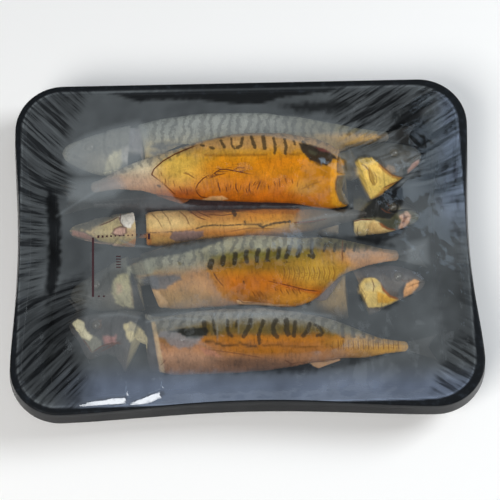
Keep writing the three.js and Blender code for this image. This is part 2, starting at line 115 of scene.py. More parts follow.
def rim_line(inset, height):
    """The tray's rounded outline, moved in by inset, at one height."""
    radius = max(CORNER_RADIUS - inset, LEAST_RADIUS)
    middle = (TRAY_LENGTH / 2 - inset - radius, TRAY_WIDTH / 2 - inset - radius)
    share = FLOOR_BOW_SHARE + (1 - FLOOR_BOW_SHARE) * min(max(height / RIM_HEIGHT, 0), 1)
    points = []
    for side, (bow, corner, steps, inward) in enumerate(SIDES):
        before = SIDES[side - 1][1]
        for step in range(1, steps):
            along = step / steps
            pull = bow * share * np.sin(np.pi * along) ** BOW_POWER - radius
            points.append(
                [
                    middle[k] * (before[k] + (corner[k] - before[k]) * along) + pull * inward[k]
                    for k in (0, 1)
                ]
            )
        for step in range(CORNER_STEPS + 1):
            angle = (side + step / CORNER_STEPS) * np.pi / 2
            points.append(
                [
                    middle[0] * corner[0] + radius * np.cos(angle),
                    middle[1] * corner[1] + radius * np.sin(angle),
                ]
            )
    return np.column_stack((points, np.full(len(points), height)))


def wall_inset(height):
    share = (height - WALL) / (RIM_HEIGHT - WALL)
    return FLOOR_INSET + (FLANGE_WIDTH + RIM_ROUND - FLOOR_INSET) * share


def tray_section():
    """Inset and height from the base's underside, round the skirt, down to the floor."""
    foot = RIM_HEIGHT - SKIRT_DROP
    under = RIM_HEIGHT - WALL
    low = FLOOR_INSET + FLOOR_ROUND
    outer, inner, before_wall = FLANGE_FLAT
    rows = [
        (low, 0),
        (wall_inset(0) + WALL + BASE_ROUND, SKIRT_EDGE),
        (wall_inset(0) + WALL, BASE_CORNER),
        (wall_inset(FLOOR_ROUND) - WALL, FLOOR_ROUND),
    ]
    rows += [(wall_inset(h) - WALL, h) for h in np.linspace(WALL_FROM, WALL_TO, 6)]
    rows += [
        (FLANGE_WIDTH - WALL, under),
        (RIM_ROUND + outer, under),
        (WALL + SKIRT_EDGE, RIM_HEIGHT - RIM_ROUND),
        (WALL, RIM_HEIGHT - RIM_ROUND - SKIRT_TURN),
        (WALL - SKIRT_FLARE, foot + SKIRT_EDGE),
        (-SKIRT_FLARE / 2 - SKIRT_FOOT, foot),
        (-SKIRT_FLARE, foot + SKIRT_EDGE),
    ]
    rows += [
        (RIM_ROUND * (1 - np.cos(turn)), RIM_HEIGHT - RIM_ROUND * (1 - np.sin(turn)))
        for turn in np.radians(range(0, 91, 15))
    ]
    rows += [(RIM_ROUND + inner, RIM_HEIGHT - RIM_FALL), (FLANGE_WIDTH - before_wall, RIM_HEIGHT)]
    rows += [
        (FLANGE_WIDTH + RIM_ROUND * np.sin(turn), RIM_HEIGHT - RIM_ROUND * (1 - np.cos(turn)))
        for turn in np.radians(range(0, 81, 20))
    ]
    rows += [(wall_inset(h), h) for h in np.linspace(WALL_TO, FLOOR_ROUND, 12)]
    rows += [
        (
            wall_inset(FLOOR_ROUND) + FLOOR_ROUND_WIDTH * (1 - np.cos(turn)),
            FLOOR_ROUND - (FLOOR_ROUND - WALL) * np.sin(turn),
        )
        for turn in np.radians(range(20, 81, 20))
    ]
    rows.append((low, WALL))
    return rows


def lay_grid(bm, places):
    """A bmesh grid whose knots are laid on rows of places, and its vertices row by row."""
    rows, knots = places.shape[:2]
    made = bmesh.ops.create_grid(bm, x_segments=knots - 1, y_segments=rows - 1, size=1)
    spread = np.array([v.co for v in made["verts"]])
    column = np.rint((spread[:, 0] + 1) / 2 * (knots - 1)).astype(int)
    row = np.rint((spread[:, 1] + 1) / 2 * (rows - 1)).astype(int)
    for vert, place in zip(made["verts"], places[row, column]):
        vert.co = place
    return made["verts"], row, column


def finish_piece(name, bm, materials):
    """The bmesh as a smooth object of that name, with its materials."""
    mesh = bpy.data.meshes.new(name)
    bm.to_mesh(mesh)
    bm.free()
    mesh.polygons.foreach_set("use_smooth", [True] * len(mesh.polygons))
    for material in materials:
        mesh.materials.append(material)
    piece = bpy.data.objects.new(name, mesh)
    bpy.context.scene.collection.objects.link(piece)
    return piece


def blank_material(name):
    """A new material with only its output, and short ways to add and wire its nodes."""
    material = bpy.data.materials.new(name)
    material.use_nodes = True
    tree = material.node_tree
    tree.nodes.clear()
    return material, tree, tree.nodes.new("ShaderNodeOutputMaterial")


def add_node(tree, kind, settings=None, **inputs):
    """A node of that kind. An input is a value, or the socket that feeds it."""
    node = tree.nodes.new("ShaderNode" + kind)
    for key, value in (settings or {}).items():
        setattr(node, key, value)
    for key, value in inputs.items():
        wanted = key.replace("_", " ")
        socket = next(
            s for s in node.inputs if s.enabled and (s.name == wanted or s.identifier == key)
        )
        if isinstance(value, bpy.types.NodeSocket):
            tree.links.new(value, socket)
        else:
            socket.default_value = value
    return node


def sum_of(tree, operation, first, second, clamp=False):
    """A Math node's value."""
    node = tree.nodes.new("ShaderNodeMath")
    node.operation = operation
    node.use_clamp = clamp
    for socket, value in zip(node.inputs, (first, second)):
        if isinstance(value, bpy.types.NodeSocket):
            tree.links.new(value, socket)
        else:
            socket.default_value = value
    return node.outputs[0]


def times(tree, first, second, clamp=False):
    return sum_of(tree, "MULTIPLY", first, second, clamp)


def plus(tree, first, second):
    return sum_of(tree, "ADD", first, second)


def noise(tree, at, scale, detail=2.0, roughness=0.5):
    """A noise pattern's value. The scale is about the number of its lumps to the metre."""
    settings = {"Scale": scale, "Detail": detail, "Roughness": roughness}
    return add_node(tree, "TexNoise", Vector=at, **settings).outputs["Fac"]


def cover(tree, output, **inputs):
    """A Principled surface with those inputs, wired to the material's output."""
    shader = add_node(tree, "BsdfPrincipled", **inputs)
    tree.links.new(shader.outputs[0], output.inputs["Surface"])


def blend_colours(tree, share, first, second):
    """A colour mixed from two by a share."""
    node = tree.nodes.new("ShaderNodeMix")
    node.data_type = "RGBA"
    for key, value in (("Factor_Float", share), ("A_Color", first), ("B_Color", second)):
        socket = next(s for s in node.inputs if s.identifier == key)
        if isinstance(value, bpy.types.NodeSocket):
            tree.links.new(value, socket)
        elif key == "Factor_Float":
            socket.default_value = value
        else:
            socket.default_value = (*value[:3], 1)
    return next(s for s in node.outputs if s.identifier == "Result_Color")


def range_to_share(tree, value, low, high):
    """0 where the value is at low, 1 where it is at high, and smooth between them."""
    node = tree.nodes.new("ShaderNodeMapRange")
    node.interpolation_type = "SMOOTHSTEP"
    tree.links.new(value, node.inputs["Value"])
    node.inputs["From Min"].default_value = low
    node.inputs["From Max"].default_value = high
    return node.outputs["Result"]


def tray_plastic():
    material, tree, output = blank_material("black_tray_plastic")
    at = add_node(tree, "TexCoord").outputs["Object"]
    grain = noise(tree, at, 900.0, 3.0)
    flow = noise(tree, at, 28.0, 4.0)
    scuffs = noise(tree, at, 160.0, 6.0, 0.7)
    height = add_node(tree, "SeparateXYZ", Vector=at).outputs["Z"]
    near_rim = range_to_share(tree, height, RIM_HEIGHT - 0.004, RIM_HEIGHT - 0.0002)
    worn = times(tree, range_to_share(tree, scuffs, 0.50, 0.72), near_rim)
    colour = blend_colours(tree, worn, BLACK_PLASTIC, WORN_PLASTIC)
    rough = plus(tree, times(tree, flow, 0.22), 0.20)
    bump = add_node(tree, "Bump", Strength=0.25, Distance=0.0002, Height=grain).outputs["Normal"]
    cover(tree, output, Base_Color=colour, Roughness=rough, Specular_IOR_Level=0.05, Normal=bump)
    return material


bm = bmesh.new()
rings = np.array([rim_line(inset, height) for inset, height in tray_section()])
rings = np.concatenate((rings, rings[:, :1]), axis=1)
lay_grid(bm, rings)
bmesh.ops.remove_doubles(bm, verts=bm.verts, dist=1e-6)
edges = [e for e in bm.edges if e.is_boundary]
bmesh.ops.holes_fill(bm, edges=edges, sides=0)
bmesh.ops.recalc_face_normals(bm, faces=bm.faces)
tray = finish_piece("tray_moulding", bm, [tray_plastic()])
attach(tray, "root")
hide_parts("tray")

# ---- The far mackerel, deep in the tray ------------------------------------------------------
# A whole gutted fish, brined and smoked hot until its skin turned to gold leaf over a blue and
# black back. Its gills are out, so the gill covers stand off the body. It lies on the floor.
FISH_DEPTH = 0.062
FISH_THICKNESS = 0.031
SECTION_POWER = 2.4
BELLY_THINNING = 0.3
# A place along the fish, with the share of its full depth and of its full thickness there.
HEAD_FORM = ((0, 0.12, 0.16), (0.02, 0.28, 0.34), (0.08, 0.54, 0.64), (0.14, 0.7, 0.84), (0.2, 0.79, 0.93))
BODY_FORM = (
    (0.24, 0.8, 0.9), (0.3, 0.91, 0.98), (0.38, 0.98, 1), (0.48, 1, 1), (0.6, 0.94, 0.95),
    (0.74, 0.7, 0.74), (0.87, 0.38, 0.42), (0.95, 0.2, 0.24), (1, 0.15, 0.14),
)
NECK_FROM, NECK_TO = 0.205, 0.235
NECK_DEPTH, NECK_THICKNESS, NECK_SET_BACK = 0.42, 0.5, 0.16
HEAD_END, BODY_START = 0.2, 0.24
ROUND_NOSE = 0.012
ROUND_TAIL = 0.012
FISH_CLEARANCE = 0.0012
HEAD_SLANT_FROM, BODY_SLANT_TO = 0.14, 0.33
BULGES_FROM = 0.3
GIRTH_STEPS = 120
LINE_POINTS, CURVE_STEPS = 600, 80


def paint(red, green, blue):
    """A colour in the render's own linear light, from the 0 to 255 values of a picture."""
    share = np.array([red, green, blue]) / 255
    return np.where(share <= 0.04045, share / 12.92, ((share + 0.055) / 1.055) ** 2.4)


def hump(value, middle, width):
    """1 where the value is at the middle, and less the further off it is."""
    return np.exp(-(((value - middle) / width) ** 2))


def fish_line(spine):
    """A smooth line through the spine's knots, given in millimetres: even points and its length."""
    knots = np.array(spine) / 1000
    knots = np.vstack((2 * knots[0] - knots[1], knots, 2 * knots[-1] - knots[-2]))
    line = []
    for a, b, c, d in zip(knots, knots[1:], knots[2:], knots[3:]):
        before, here, after = (np.linalg.norm(q - p) ** 0.5 for p, q in ((a, b), (b, c), (c, d)))
        leave = here * ((b - a) / before - (c - a) / (before + here) + (c - b) / here)
        reach = here * ((c - b) / here - (d - b) / (here + after) + (d - c) / after)
        t = np.linspace(0, 1, CURVE_STEPS, endpoint=False)[:, None]
        line.append(
            b + t * leave + t**2 * (3 * (c - b) - 2 * leave - reach) + t**3 * (2 * (b - c) + leave + reach)
        )
    line = np.vstack((*line, knots[-2]))
    run = np.concatenate(([0], np.cumsum(np.linalg.norm(np.diff(line, axis=0), axis=1))))
    even = np.linspace(0, run[-1], LINE_POINTS)
    return np.column_stack([np.interp(even, run, line[:, k]) for k in range(3)]), run[-1]


def form_at(rows, place):
    """Smooth values between the rows of a form table at one place."""
    k = int(np.clip(np.searchsorted([r[0] for r in rows], place) - 1, 0, len(rows) - 2))
    around = [min(max(k + i, 0), len(rows) - 1) for i in (-1, 0, 1, 2)]
    before, low, high, after = (np.array(rows[i], float) for i in around)
    span = high[0] - low[0]
    t = (place - low[0]) / span
    leave = span * (high - before)[1:] / (high - before)[0]
    reach = span * (after - low)[1:] / (after - low)[0]
    rise = (high - low)[1:]
    return low[1:] + rise * t + t * (1 - t) * (leave * (1 - t) - reach * t + rise * (2 * t - 1))


class Fish:
    """One fish's own line, sizes and slants, in millimetres, close to those of its solid."""

    def __init__(self, spine, roll, size, head_cut=0, body_cut=0, hollow=0, gape=0, bulges=()):
        self.line, self.length = fish_line(spine)
        self.roll = np.radians(roll)
        self.size = size
        self.head_cut, self.body_cut = head_cut / 1000, body_cut / 1000
        self.hollow, self.gape = hollow / 1000, gape / 1000
        self.bulges = bulges

    def axes(self, place):
        """The fish's middle at a place, and its own directions: along, to the back, to a side."""
        at = np.clip(place, 0, 1) * (len(self.line) - 1)
        low = int(min(at, len(self.line) - 2))
        centre = self.line[low] + (at - low) * (self.line[low + 1] - self.line[low])
        first, last = max(low - 2, 0), min(low + 3, len(self.line) - 1)
        along = self.line[last] - self.line[first]
        along = along / np.linalg.norm(along)
        turn = np.sign(along[0])
        across = np.cross((0, 0, turn), along)
        across = across / np.linalg.norm(across)
        lift = np.cross(along, across) * turn
        back = across * np.cos(self.roll) + lift * np.sin(self.roll)
        return centre, along, back, np.cross(along, back)

    def section(self, place):
        """The reach to the back and to the belly, and half the thickness, at a place."""
        depth = FISH_DEPTH * self.size
        if HEAD_END < place < BODY_START:
            share, thick, back = NECK_DEPTH, NECK_THICKNESS, NECK_SET_BACK
        else:
            share, thick = form_at(HEAD_FORM if place <= HEAD_END else BODY_FORM, place)
            back = 0
        if place < ROUND_NOSE:
            share, thick = (v * np.sqrt(1 - (1 - place / ROUND_NOSE) ** 2) for v in (share, thick))
        if place > 1 - ROUND_TAIL:
            over = (place - 1 + ROUND_TAIL) / ROUND_TAIL
            share, thick = (v * np.sqrt(max(1 - over**2, 0)) for v in (share, thick))
        drop = 0
        if place <= HEAD_END or place >= BULGES_FROM:
            drop = sum(low / 1000 * hump(place, at, wide) for at, wide, low in self.bulges)
        return depth * (share / 2 + back), depth * (share / 2 - back) + drop, FISH_THICKNESS * thick / 2

    def slant(self, place, height):
        """How far a point of a section is moved along the fish by the gill opening's slants."""
        if place <= HEAD_END:
            return -smooth_step(place, HEAD_SLANT_FROM, HEAD_END) * (height * self.head_cut + self.gape)
        if place < BODY_START:
            return -height * (self.head_cut + self.body_cut) / 2
        near = 1 - smooth_step(place, BODY_START, BODY_SLANT_TO)
        return near * (-height * self.body_cut + self.hollow * (1 - height**2))

    def ring(self, place):
        """One section, from the belly over one side, the back and the other side."""
        centre, along, back, side = self.axes(place)
        to_back, to_belly, half = self.section(place)
        angle = np.linspace(-np.pi, np.pi, GIRTH_STEPS + 1)
        height = np.sign(np.cos(angle)) * np.abs(np.cos(angle)) ** (2 / SECTION_POWER)
        width = np.sign(np.sin(angle)) * np.abs(np.sin(angle)) ** (2 / SECTION_POWER)
        width = width * half * (1 - BELLY_THINNING * np.clip(-height, 0, 1) ** 2)
        reach = height * np.where(height > 0, to_back, to_belly)
        points = centre + reach[:, None] * back + width[:, None] * side
        return points + self.slant(place, height)[:, None] * along, height


def stations():
    """The places along a fish at which it has a section: close at the snout and the gills."""
    return np.concatenate(
        (
            ROUND_NOSE * (1 - np.cos(np.linspace(0, np.pi / 2, 10))),
            np.linspace(0.015, 0.196, 64),
            [0.198, 0.1995, 0.2, 0.2005, NECK_FROM, 0.215, 0.225, NECK_TO, 0.2395, BODY_START],
            [0.2405, 0.242, 0.244],
            np.linspace(0.247, 0.985, 236),
            1 - ROUND_TAIL * (1 - np.sin(np.linspace(0.15, np.pi / 2, 7))),
        )
    )


NOISE_WAVES, NOISE_SPREAD, NOISE_SWING = 14, (0.55, 1.5), 3.2


def soft_noise(points, size, seed):
    """Smooth uneven values from about -1 to 1, with features of the given size."""
    chance = np.random.default_rng(seed)
    total = np.zeros(len(points))
    for _ in range(NOISE_WAVES):
        heading = chance.normal(size=points.shape[1])
        heading *= 2 * np.pi / size / np.linalg.norm(heading) * chance.uniform(*NOISE_SPREAD)
        total += np.sin(points @ heading + chance.uniform(0, 2 * np.pi))
    return total / NOISE_SWING


def line_gap(points, knots):
    """Each point's distance to a line through knots, its side of it, and how far along it is."""
    best = np.full(len(points), 1e9)
    side = np.zeros(len(points))
    share = np.zeros(len(points))
    knots = np.array(knots, float)
    for k, (a, b) in enumerate(zip(knots, knots[1:])):
        run = b - a
        t = np.clip((points - a) @ run / (run @ run), 0, 1)
        off = points - (a + t[:, None] * run)
        gap = np.hypot(off[:, 0], off[:, 1])
        near = gap < best
        best = np.where(near, gap, best)
        side = np.where(near, np.sign(run[0] * off[:, 1] - run[1] * off[:, 0]), side)
        share = np.where(near, (k + t) / (len(knots) - 1), share)
    return best, side, share


def inside_by(points, outline):
    """How many pixels each point is inside a closed outline: below 0 is outside."""
    outline = np.array(outline, float)
    gap = line_gap(points, np.vstack((outline, outline[:1])))[0]
    within = np.zeros(len(points), bool)
    for (ax, ay), (bx, by) in zip(outline, np.roll(outline, -1, axis=0)):
        if ay != by:
            crosses = (points[:, 1] < ay) != (points[:, 1] < by)
            within ^= crosses & (points[:, 0] < ax + (points[:, 1] - ay) * (bx - ax) / (by - ay))
    return np.where(within, gap, -gap)


FIN_RAYS = 14
# The tail fin: where it starts, its reach, how much its tips stand out, half its root, its spread.
TAIL_START, TAIL_REACH, TAIL_FORK, TAIL_ROOT, TAIL_SPREAD = -0.008, 0.026, 0.008, 0.0030, 0.008
TAIL_RAY_RELIEF, TAIL_WAVE, TAIL_CURVE, TAIL_THICKNESS = 0.00022, 0.0006, 1.3, 0.0009
BACK_FIN = {"place": 0.68, "direction": 1, "length": 0.024, "height": 0.002}
BELLY_FIN = {"place": 0.70, "direction": -1, "length": 0.027, "height": 0.0045}
FIN_PEAK, FIN_ROOT, FIN_LEAN, FIN_THICKNESS = 0.25, 0.003, 0.004, 0.0007


def thicken(bm, verts, thickness):
    """Gives a thin plate its thickness, which closes it."""
    faces = list({f for v in verts for f in v.link_faces})
    bmesh.ops.solidify(bm, geom=faces, thickness=thickness)


def add_tail_fin(bm, fish):
    """The forked tail fin: a thin plate with rays, closed by its thickness."""
    centre, along, back, side = fish.axes(1)
    across = np.linspace(-1, 1, 2 * FIN_RAYS + 1)
    out = np.linspace(0, 1, 16)
    places = np.zeros((len(out), len(across), 3))
    for i, v in enumerate(out):
        x = TAIL_START + v * (TAIL_REACH + TAIL_FORK * np.abs(across) ** TAIL_CURVE)
        y = across * (TAIL_ROOT + TAIL_SPREAD * v**TAIL_CURVE)
        z = TAIL_RAY_RELIEF * np.cos(np.arange(len(across)) * np.pi) * v
        z += TAIL_WAVE * np.sin(3 * across + 2 * v) * v
        places[i] = centre + x[:, None] * along + y[:, None] * back + z[:, None] * side
    thicken(bm, lay_grid(bm, places)[0], TAIL_THICKNESS)


def add_edge_fin(bm, fish, place, direction, length, height):
    """A low fin on the back (1) or the belly (-1), folded flat, with its rays."""
    steps = 2 * FIN_RAYS
    rows = np.linspace(0, 1, 7)
    places = np.zeros((len(rows), steps + 1, 3))
    for j in range(steps + 1):
        u = j / steps
        centre, along, back, side = fish.axes(place + u * length / fish.length)
        to_back, to_belly, _ = fish.section(place + u * length / fish.length)
        edge = to_back if direction > 0 else to_belly
        tall = height * min(u / FIN_PEAK, 1) ** 0.7 * (1 - max(u - FIN_PEAK, 0) / 0.78)
        for i, v in enumerate(rows):
            reach = edge - FIN_ROOT + (FIN_ROOT + tall) * v
            wave = 0.0002 * np.cos(j * np.pi) * v + 0.0004 * np.sin(5 * u + 2 * v)
            places[i, j] = centre + direction * reach * back + wave * side + FIN_LEAN * v * along
    thicken(bm, lay_grid(bm, places)[0], FIN_THICKNESS)


EYE_PLACE, EYE_RADIUS, EYE_LIFT = 0.085, 0.0046, 0.08
EYE_SUNK, EYE_FLATTENING = 0.62, 0.18
# What each vertex keeps, and the values of "part". An eye's value is 2 and more.
LAYERS = ("place", "height", "reach", "part", "run")
SKIN, BACK_FINS, BELLY_FINS, EYES = 0, 1, 1.5, 2


def add_eyes(bm, fish, layer):
    """Both eyeballs, cooked pale, each a little proud of its socket. They come first."""
    centre, _, back, side = fish.axes(EYE_PLACE)
    half = fish.section(EYE_PLACE)[2]
    for way in (1, -1):
        out = half - EYE_RADIUS * EYE_SUNK
        middle = centre + back * EYE_LIFT * FISH_DEPTH * fish.size + way * side * out
        at = Matrix.Translation(middle)
        made = bmesh.ops.create_uvsphere(bm, u_segments=32, v_segments=18, radius=EYE_RADIUS, matrix=at)
        for vert in made["verts"]:
            off = np.array(vert.co) - middle
            level = off @ side
            vert[layer] = EYES + np.linalg.norm(off - level * side) / EYE_RADIUS
            vert.co = middle + off - EYE_FLATTENING * level * side
        for face in {f for v in made["verts"] for f in v.link_faces}:
            face.material_index = 1


# The head's relief in metres, by the place along the fish and the height on its side.
EYE_RIM_LIFT, EYE_RIM_RADIUS, EYE_RIM_WIDTH = 0.0006, 0.0056, 0.0012
SOCKET_DEPTH, SOCKET_RADIUS = 0.0010, 0.0042
COVER_PLACE, COVER_CURVE, COVER_LEAN = 0.128, 0.016, 0.01
COVER_LIFT, COVER_RISE, COVER_GROOVE, COVER_GROOVE_WIDTH = 0.0008, 0.01, 0.0006, 0.004
PLATE_PLACE, PLATE_TURN, PLATE_GROOVE, PLATE_GROOVE_WIDTH = 0.168, 0.05, 0.0004, 0.003
MOUTH_HEIGHT, MOUTH_SLOPE, MOUTH_DEPTH, MOUTH_WIDTH = -0.12, 6.5, 0.0011, 0.09
LIP_LIFT, LIP_HEIGHT, LIP_WIDTH = 0.0005, 0.22, 0.14
PLATE_RAYS, PLATE_RAY_STEP = 0.00008, 0.0011


def head_relief(fish, place, height, reach):
    """Lift of the head's bones and plates over the plain head, in metres."""
    along = place * fish.length
    eye = np.hypot(along - EYE_PLACE * fish.length, reach - EYE_LIFT * FISH_DEPTH * fish.size)
    lift = EYE_RIM_LIFT * hump(eye, EYE_RIM_RADIUS, EYE_RIM_WIDTH)
    lift -= SOCKET_DEPTH * np.exp(-((eye / SOCKET_RADIUS) ** 4))
    cover = COVER_PLACE + COVER_CURVE * height**2 - COVER_LEAN * height
    lift += COVER_LIFT * smooth_step(place, cover, cover + COVER_RISE)
    lift -= COVER_GROOVE * hump(place, cover, COVER_GROOVE_WIDTH)
    plate = PLATE_PLACE - PLATE_TURN * np.clip(-height - 0.2, 0, 1)
    lift -= PLATE_GROOVE * hump(place, plate, PLATE_GROOVE_WIDTH) * (height < 0.1)
    over_mouth = height - (MOUTH_HEIGHT - MOUTH_SLOPE * place)
    lift -= MOUTH_DEPTH * hump(over_mouth, 0, MOUTH_WIDTH) * (1 - smooth_step(place, 0.045, 0.062))
    lift += LIP_LIFT * hump(over_mouth, LIP_HEIGHT, LIP_WIDTH) * (1 - smooth_step(place, 0.05, 0.08))
    rays = np.sin(reach / PLATE_RAY_STEP + 3 * place / 0.1)
    lift += PLATE_RAYS * rays * smooth_step(place, 0.15, 0.18)
    return lift * (place < HEAD_END + 0.0003)


# The body's relief in metres: lumps, muscle ribs, lateral line, belly folds and the cut front.
BIG_LUMPS, SMALL_LUMPS = (0.00022, 0.030), (0.00006, 0.009)
RIB_LIFT, RIB_SLANT, RIB_STEP = 0.00010, 0.25, 0.0044
LATERAL_DEPTH, LATERAL_HEIGHT, LATERAL_WIDTH = 0.00035, 0.12, 0.05
FOLD_LIFT, FOLD_WANDER, FOLD_STEP = 0.00012, 0.0012, 0.0052
CUT_DEPTH, CUT_RUN, CUT_LIP_LIFT, CUT_LIP_PLACE, CUT_LIP_WIDTH = 0.0009, 0.006, 0.0004, 0.011, 0.005


def body_relief(fish, place, height, reach, seed):
    """Lift of the dried skin: lateral line, muscle ribs, belly wrinkles and the cut front."""
    along = place * fish.length
    at = np.column_stack((along, reach))
    (big, big_size), (small, small_size) = BIG_LUMPS, SMALL_LUMPS
    lift = big * soft_noise(at, big_size, seed) + small * soft_noise(at, small_size, seed + 1)
    ribs = np.sin(2 * np.pi * (along + RIB_SLANT * np.abs(reach)) / RIB_STEP)
    uneven = 0.6 + 0.4 * soft_noise(at, 0.02, seed + 2)
    lift += RIB_LIFT * ribs * smooth_step(place, 0.5, 0.68) * uneven
    lift -= LATERAL_DEPTH * hump(height, LATERAL_HEIGHT, LATERAL_WIDTH) * smooth_step(place, 0.26, 0.32)
    wander = FOLD_WANDER * soft_noise(at, 0.008, seed + 3)
    folds = np.abs(np.sin(np.pi * (along + wander) / FOLD_STEP))
    low = smooth_step(-height, 0.0, 0.35) * (1 - smooth_step(-height, 0.8, 0.95))
    shown = smooth_step(soft_noise(at, 0.022, seed + 4), -0.2, 0.5)
    lift += FOLD_LIFT * folds**0.6 * low * shown
    lift -= CUT_DEPTH * (1 - smooth_step(place, BODY_START, BODY_START + CUT_RUN))
    lift += CUT_LIP_LIFT * hump(place, BODY_START + CUT_LIP_PLACE, CUT_LIP_WIDTH)
    return lift * (place > NECK_TO) * (1 - smooth_step(place, 0.96, 1))


# The breast fin that lies flat on each side, by its place along the fish.
PECTORAL_FROM, PECTORAL_TO = 0.252, 0.375
PECTORAL_LIFT, PECTORAL_RAYS, PECTORAL_RAY_STEP = 0.0006, 0.0001, 0.0009


def pectoral_lift(fish, place, reach):
    """Lift of the leaf-shaped breast fin on each side behind the gill opening, with its rays."""
    t = (place - PECTORAL_FROM) / (PECTORAL_TO - PECTORAL_FROM)
    middle = FISH_DEPTH * fish.size * (0.06 + 0.05 * t)
    half = FISH_DEPTH * fish.size * 0.115 * np.clip(t * 6, 0, 1) * np.sqrt(np.clip(1 - t, 0, 1))
    fin = smooth_step(half - np.abs(reach - middle), -0.0006, 0.0008) * (t > 0) * (t < 1)
    rays = np.sin(reach / PECTORAL_RAY_STEP + 8 * place)
    return fin * (PECTORAL_LIFT + PECTORAL_RAYS * rays)


# The heights on a fish's side at which its five colours are full, from the belly to the back.
COLOUR_HEIGHTS = {"edge": -0.95, "belly": -0.55, "flank": -0.05, "band": 0.32, "back": 0.62}


def skin_palette(height, place, colours):
    """Colours from the belly's edge (-1) to the back (1), turned to head and tail colours."""
    rows = np.array([paint(*colours[name]) for name in COLOUR_HEIGHTS])
    at = list(COLOUR_HEIGHTS.values())
    skin = np.column_stack([np.interp(height, at, rows[:, k]) for k in range(3)])
    ends = {"tail": smooth_step(place, 0.72, 0.97), "head": 1 - smooth_step(place, 0.2, 0.235)}
    for name, share in ends.items():
        top = paint(*colours.get(name + "_back", colours[name]))
        low = paint(*colours[name])
        up = smooth_step(height, 0.1, 0.5)[:, None]
        skin = skin + share[:, None] * (low * (1 - up) + top * up - skin)
    return skin


def skin_grain_group():
    """Shared by every fish: fine scales, drying cracks and oil that pools, as three values."""
    group = bpy.data.node_groups.new("smoked_skin_grain", "ShaderNodeTree")
    for name, kind in (("At", "NodeSocketVector"), ("Scale", "NodeSocketFloat")):
        group.interface.new_socket(name, in_out="INPUT", socket_type=kind)
    for name in ("Relief", "Wrinkle", "Mottle", "Oil"):
        group.interface.new_socket(name, in_out="OUTPUT", socket_type="NodeSocketFloat")
    start = group.nodes.new("NodeGroupInput")
    end = group.nodes.new("NodeGroupOutput")
    at = add_node(group, "VectorMath", {"operation": "SCALE"}, Vector=start.outputs["At"])
    group.links.new(start.outputs["Scale"], at.inputs["Scale"])
    at = at.outputs[0]
    scales = add_node(group, "TexVoronoi", {"feature": "SMOOTH_F1"}, Vector=at, Scale=780.0)
    stretched = add_node(group, "Mapping", Vector=at, Scale=(1.0, 0.28, 1.0)).outputs[0]
    cracks = noise(group, stretched, 420.0, 5.0, 0.65)
    pits = noise(group, at, 1500.0)
    relief = plus(group, times(group, scales.outputs["Distance"], 0.5), cracks)
    relief = plus(group, relief, times(group, pits, 0.35))
    blotch = noise(group, at, 75.0, 6.0, 0.6)
    speck = noise(group, at, 520.0, 4.0, 0.7)
    mottle = plus(group, times(group, blotch, 0.62), times(group, speck, 0.38))
    oil = noise(group, at, 130.0, 3.0)
    group.links.new(relief, end.inputs["Relief"])
    group.links.new(cracks, end.inputs["Wrinkle"])
    group.links.new(mottle, end.inputs["Mottle"])
    group.links.new(oil, end.inputs["Oil"])
    return group


skin_grain = skin_grain_group()


def kept(tree, name, output="Fac"):
    """What each vertex of the mesh keeps under a name."""
    return add_node(tree, "Attribute", {"attribute_name": name}).outputs[output]


MARK_COLOUR = (38, 33, 24)
# The creases' dark brown is partly the skin's own colour and partly painted shade in each fold.
CREASE_SHADE_COLOUR = (92, 44, 12)
MOTTLING, CRACK_DARKENING, MARK_FRAY = 1.9, 0.26, 3.4
MARK_EDGE, BAR_EDGE, CREASE_EDGE = (0.75, -0.55), (0.42, 0.86), (0.85, 0.20)
OIL_ROUGHNESS, LEAST_ROUGHNESS = 0.28, 0.24


